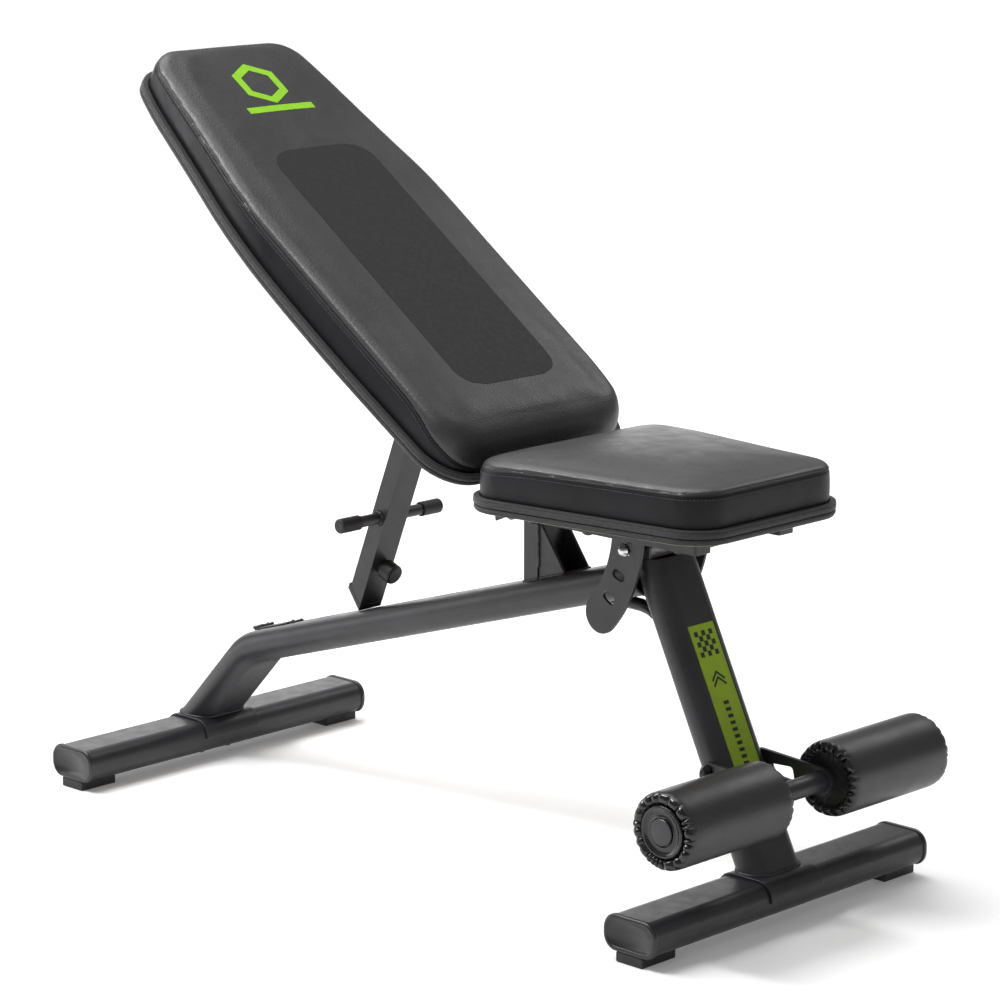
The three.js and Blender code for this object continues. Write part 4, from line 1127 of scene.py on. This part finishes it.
def make_hand_welds():
    """Up the centre post's front corners, across the stop plate's ends, and round the handle bar."""
    post_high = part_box("centre_post")[1]
    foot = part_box("centre_brace")[0].z + 14 * MM
    x = post_high.x + 0.3 * MM
    for side, sign in SIDES:
        y = sign * (post_high.y - 1.5 * MM)
        lumpy(f"centre_post_weld_{side}", [(x, y, foot), (x, y, post_high.z - 6 * MM)], 2.2 * MM)
    low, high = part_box("catch_stop_plate")
    for name, x, z in (("rear", low.x, low.z + 3.5 * MM), ("front", high.x, high.z - 2 * MM)):
        for row in (-1, 0, 1):
            line = [(x + row * 3.2 * MM, y * MM, z + row * 1.0 * MM) for y in (-16, 16)]
            lumpy(f"stop_plate_weld_{name}_{row + 1}", line, 2.6 * MM, step=2.2 * MM, rough=0.4)
    low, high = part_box("strut_handle_bar")
    centre = (low + high) / 2
    for side, sign in SIDES:
        y = sign * (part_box("strut_tube")[1].y + 0.6 * MM)
        ring = [(centre.x + 8.2 * MM * math.cos(t), y, centre.z + 8.2 * MM * math.sin(t))
                for t in np.linspace(0, 2 * math.pi, 26)]
        lumpy(f"handle_weld_{side}", ring, 2.1 * MM, "strut")


def make_saddle_bolt(end, side):
    """The domed nut under a crossbar, standing well below it."""
    low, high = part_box(f"{end}_saddle_bolt_{side}")
    centre = (low + high) / 2
    section = ((8.2, high.z), (9.0, high.z - 0.6 * MM), (9.0, low.z + 1.0 * MM), (8.2, low.z + 0.2 * MM))
    nut = stack([flat_ring(centre, r * MM, z, 6) for r, z in section])
    head = dome((centre.x, centre.y, low.z + 0.6 * MM), 7.2 * MM, 4.6 * MM)
    mesh = mesh_from("nut", *merge([nut, head]))
    piece = new_piece(f"{end}_dome_nut_{side}", mesh, "frame", "black_steel", DARK_STEEL, smooth=35)
    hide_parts(f"{end}_saddle_bolt_{side}")


def make_seat_pin():
    """The pin through the seat's plates: a bright head and a dark shaft."""
    pin = refined("seat_pin", "bright_steel", BRIGHT_STEEL, 0.3 * MM, 40)
    pin.data.materials.append(DARK_STEEL)
    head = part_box("seat_arc_plate_right")[0].y + 1 * MM
    pin.data.polygons.foreach_set("material_index", [int(p.center.y > head) for p in pin.data.polygons])


def make_frame():
    """The steel, plastic, rubber and plywood parts, their welds and bolts, and the label on the post."""
    for part in frame["record"]["subparts"]:
        if part["material_slot"] == "frame_paint":
            refined(part["node"], "frame_paint", STEEL)
    for node in ("backrest_axle", "seat_axle", "roller_bracket_bolt", "strut_pivot_pin"):
        refined(node, "black_steel", DARK_STEEL, 0.4 * MM)
    make_seat_pin()
    for side, sign in SIDES:
        refined(f"strut_grip_{side}", "rubber", RUBBER, 0.8 * MM, 45)
        refined(f"seat_rail_plug_{side}", "black_plastic", CAP_PLASTIC, 0.9 * MM)
        for end in ("rear", "front"):
            refined(f"{end}_foot_{side}", "rubber", RUBBER, 1.6 * MM)
            make_saddle_bolt(end, side)
            make_cap(end, side, sign)
    refined("strut_peg_cap", "rubber", RUBBER, 1.0 * MM, 45)
    for node in ("backrest_board", "seat_board"):
        refined(node, "plywood", PLYWOOD, 0.6 * MM)
    make_welds()
    make_hand_welds()
    make_seat_bolts()
    make_label()


# ---- floor and backdrop

FLOOR_HALF = 60
BACKDROP_RADIUS = 58
BACKDROP_SPAN = (-0.5, 16)
BACKDROP_SIDES = 64


def stage(name, points, faces, material):
    mesh = mesh_from(name, points, faces)
    mesh.materials.append(material)
    obj = add_object(name, mesh)
    return obj


def make_floor():
    corners = [(x * FLOOR_HALF, y * FLOOR_HALF, 0) for x, y in ((-1, -1), (1, -1), (1, 1), (-1, 1))]
    stage("floor", corners, [(0, 1, 2, 3)], FLOOR_WHITE)


def make_backdrop():
    """A far white wall round the floor, seen by the camera only."""
    turn = [i * 2 * math.pi / BACKDROP_SIDES for i in range(BACKDROP_SIDES)]
    points = [(BACKDROP_RADIUS * math.cos(t), BACKDROP_RADIUS * math.sin(t), z) for z in BACKDROP_SPAN for t in turn]
    wall = stage("backdrop", points, grid_faces(2, BACKDROP_SIDES), BACKDROP_WHITE)
    wall.visible_diffuse = wall.visible_glossy = wall.visible_transmission = wall.visible_shadow = False


# ---- everything in order

def make_pads():
    """Both pads. Each of the seat's soft pieces gets its own copy of its mesh."""
    for pad in (BACKREST, SEAT):
        cover = make_cushion(pad)
        pieces = [cover, *make_binding(pad), *make_seam(pad, cover)]
        if pad is BACKREST:
            make_marks(cover)
        else:
            for piece in pieces:
                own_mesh(piece)


make_camera()
make_studio()
make_floor()
make_backdrop()
make_frame()
make_pads()
for side, sign in SIDES:
    make_roller(side, sign)
    make_roller_disc(side, sign)
    make_axle_cap(side, sign)
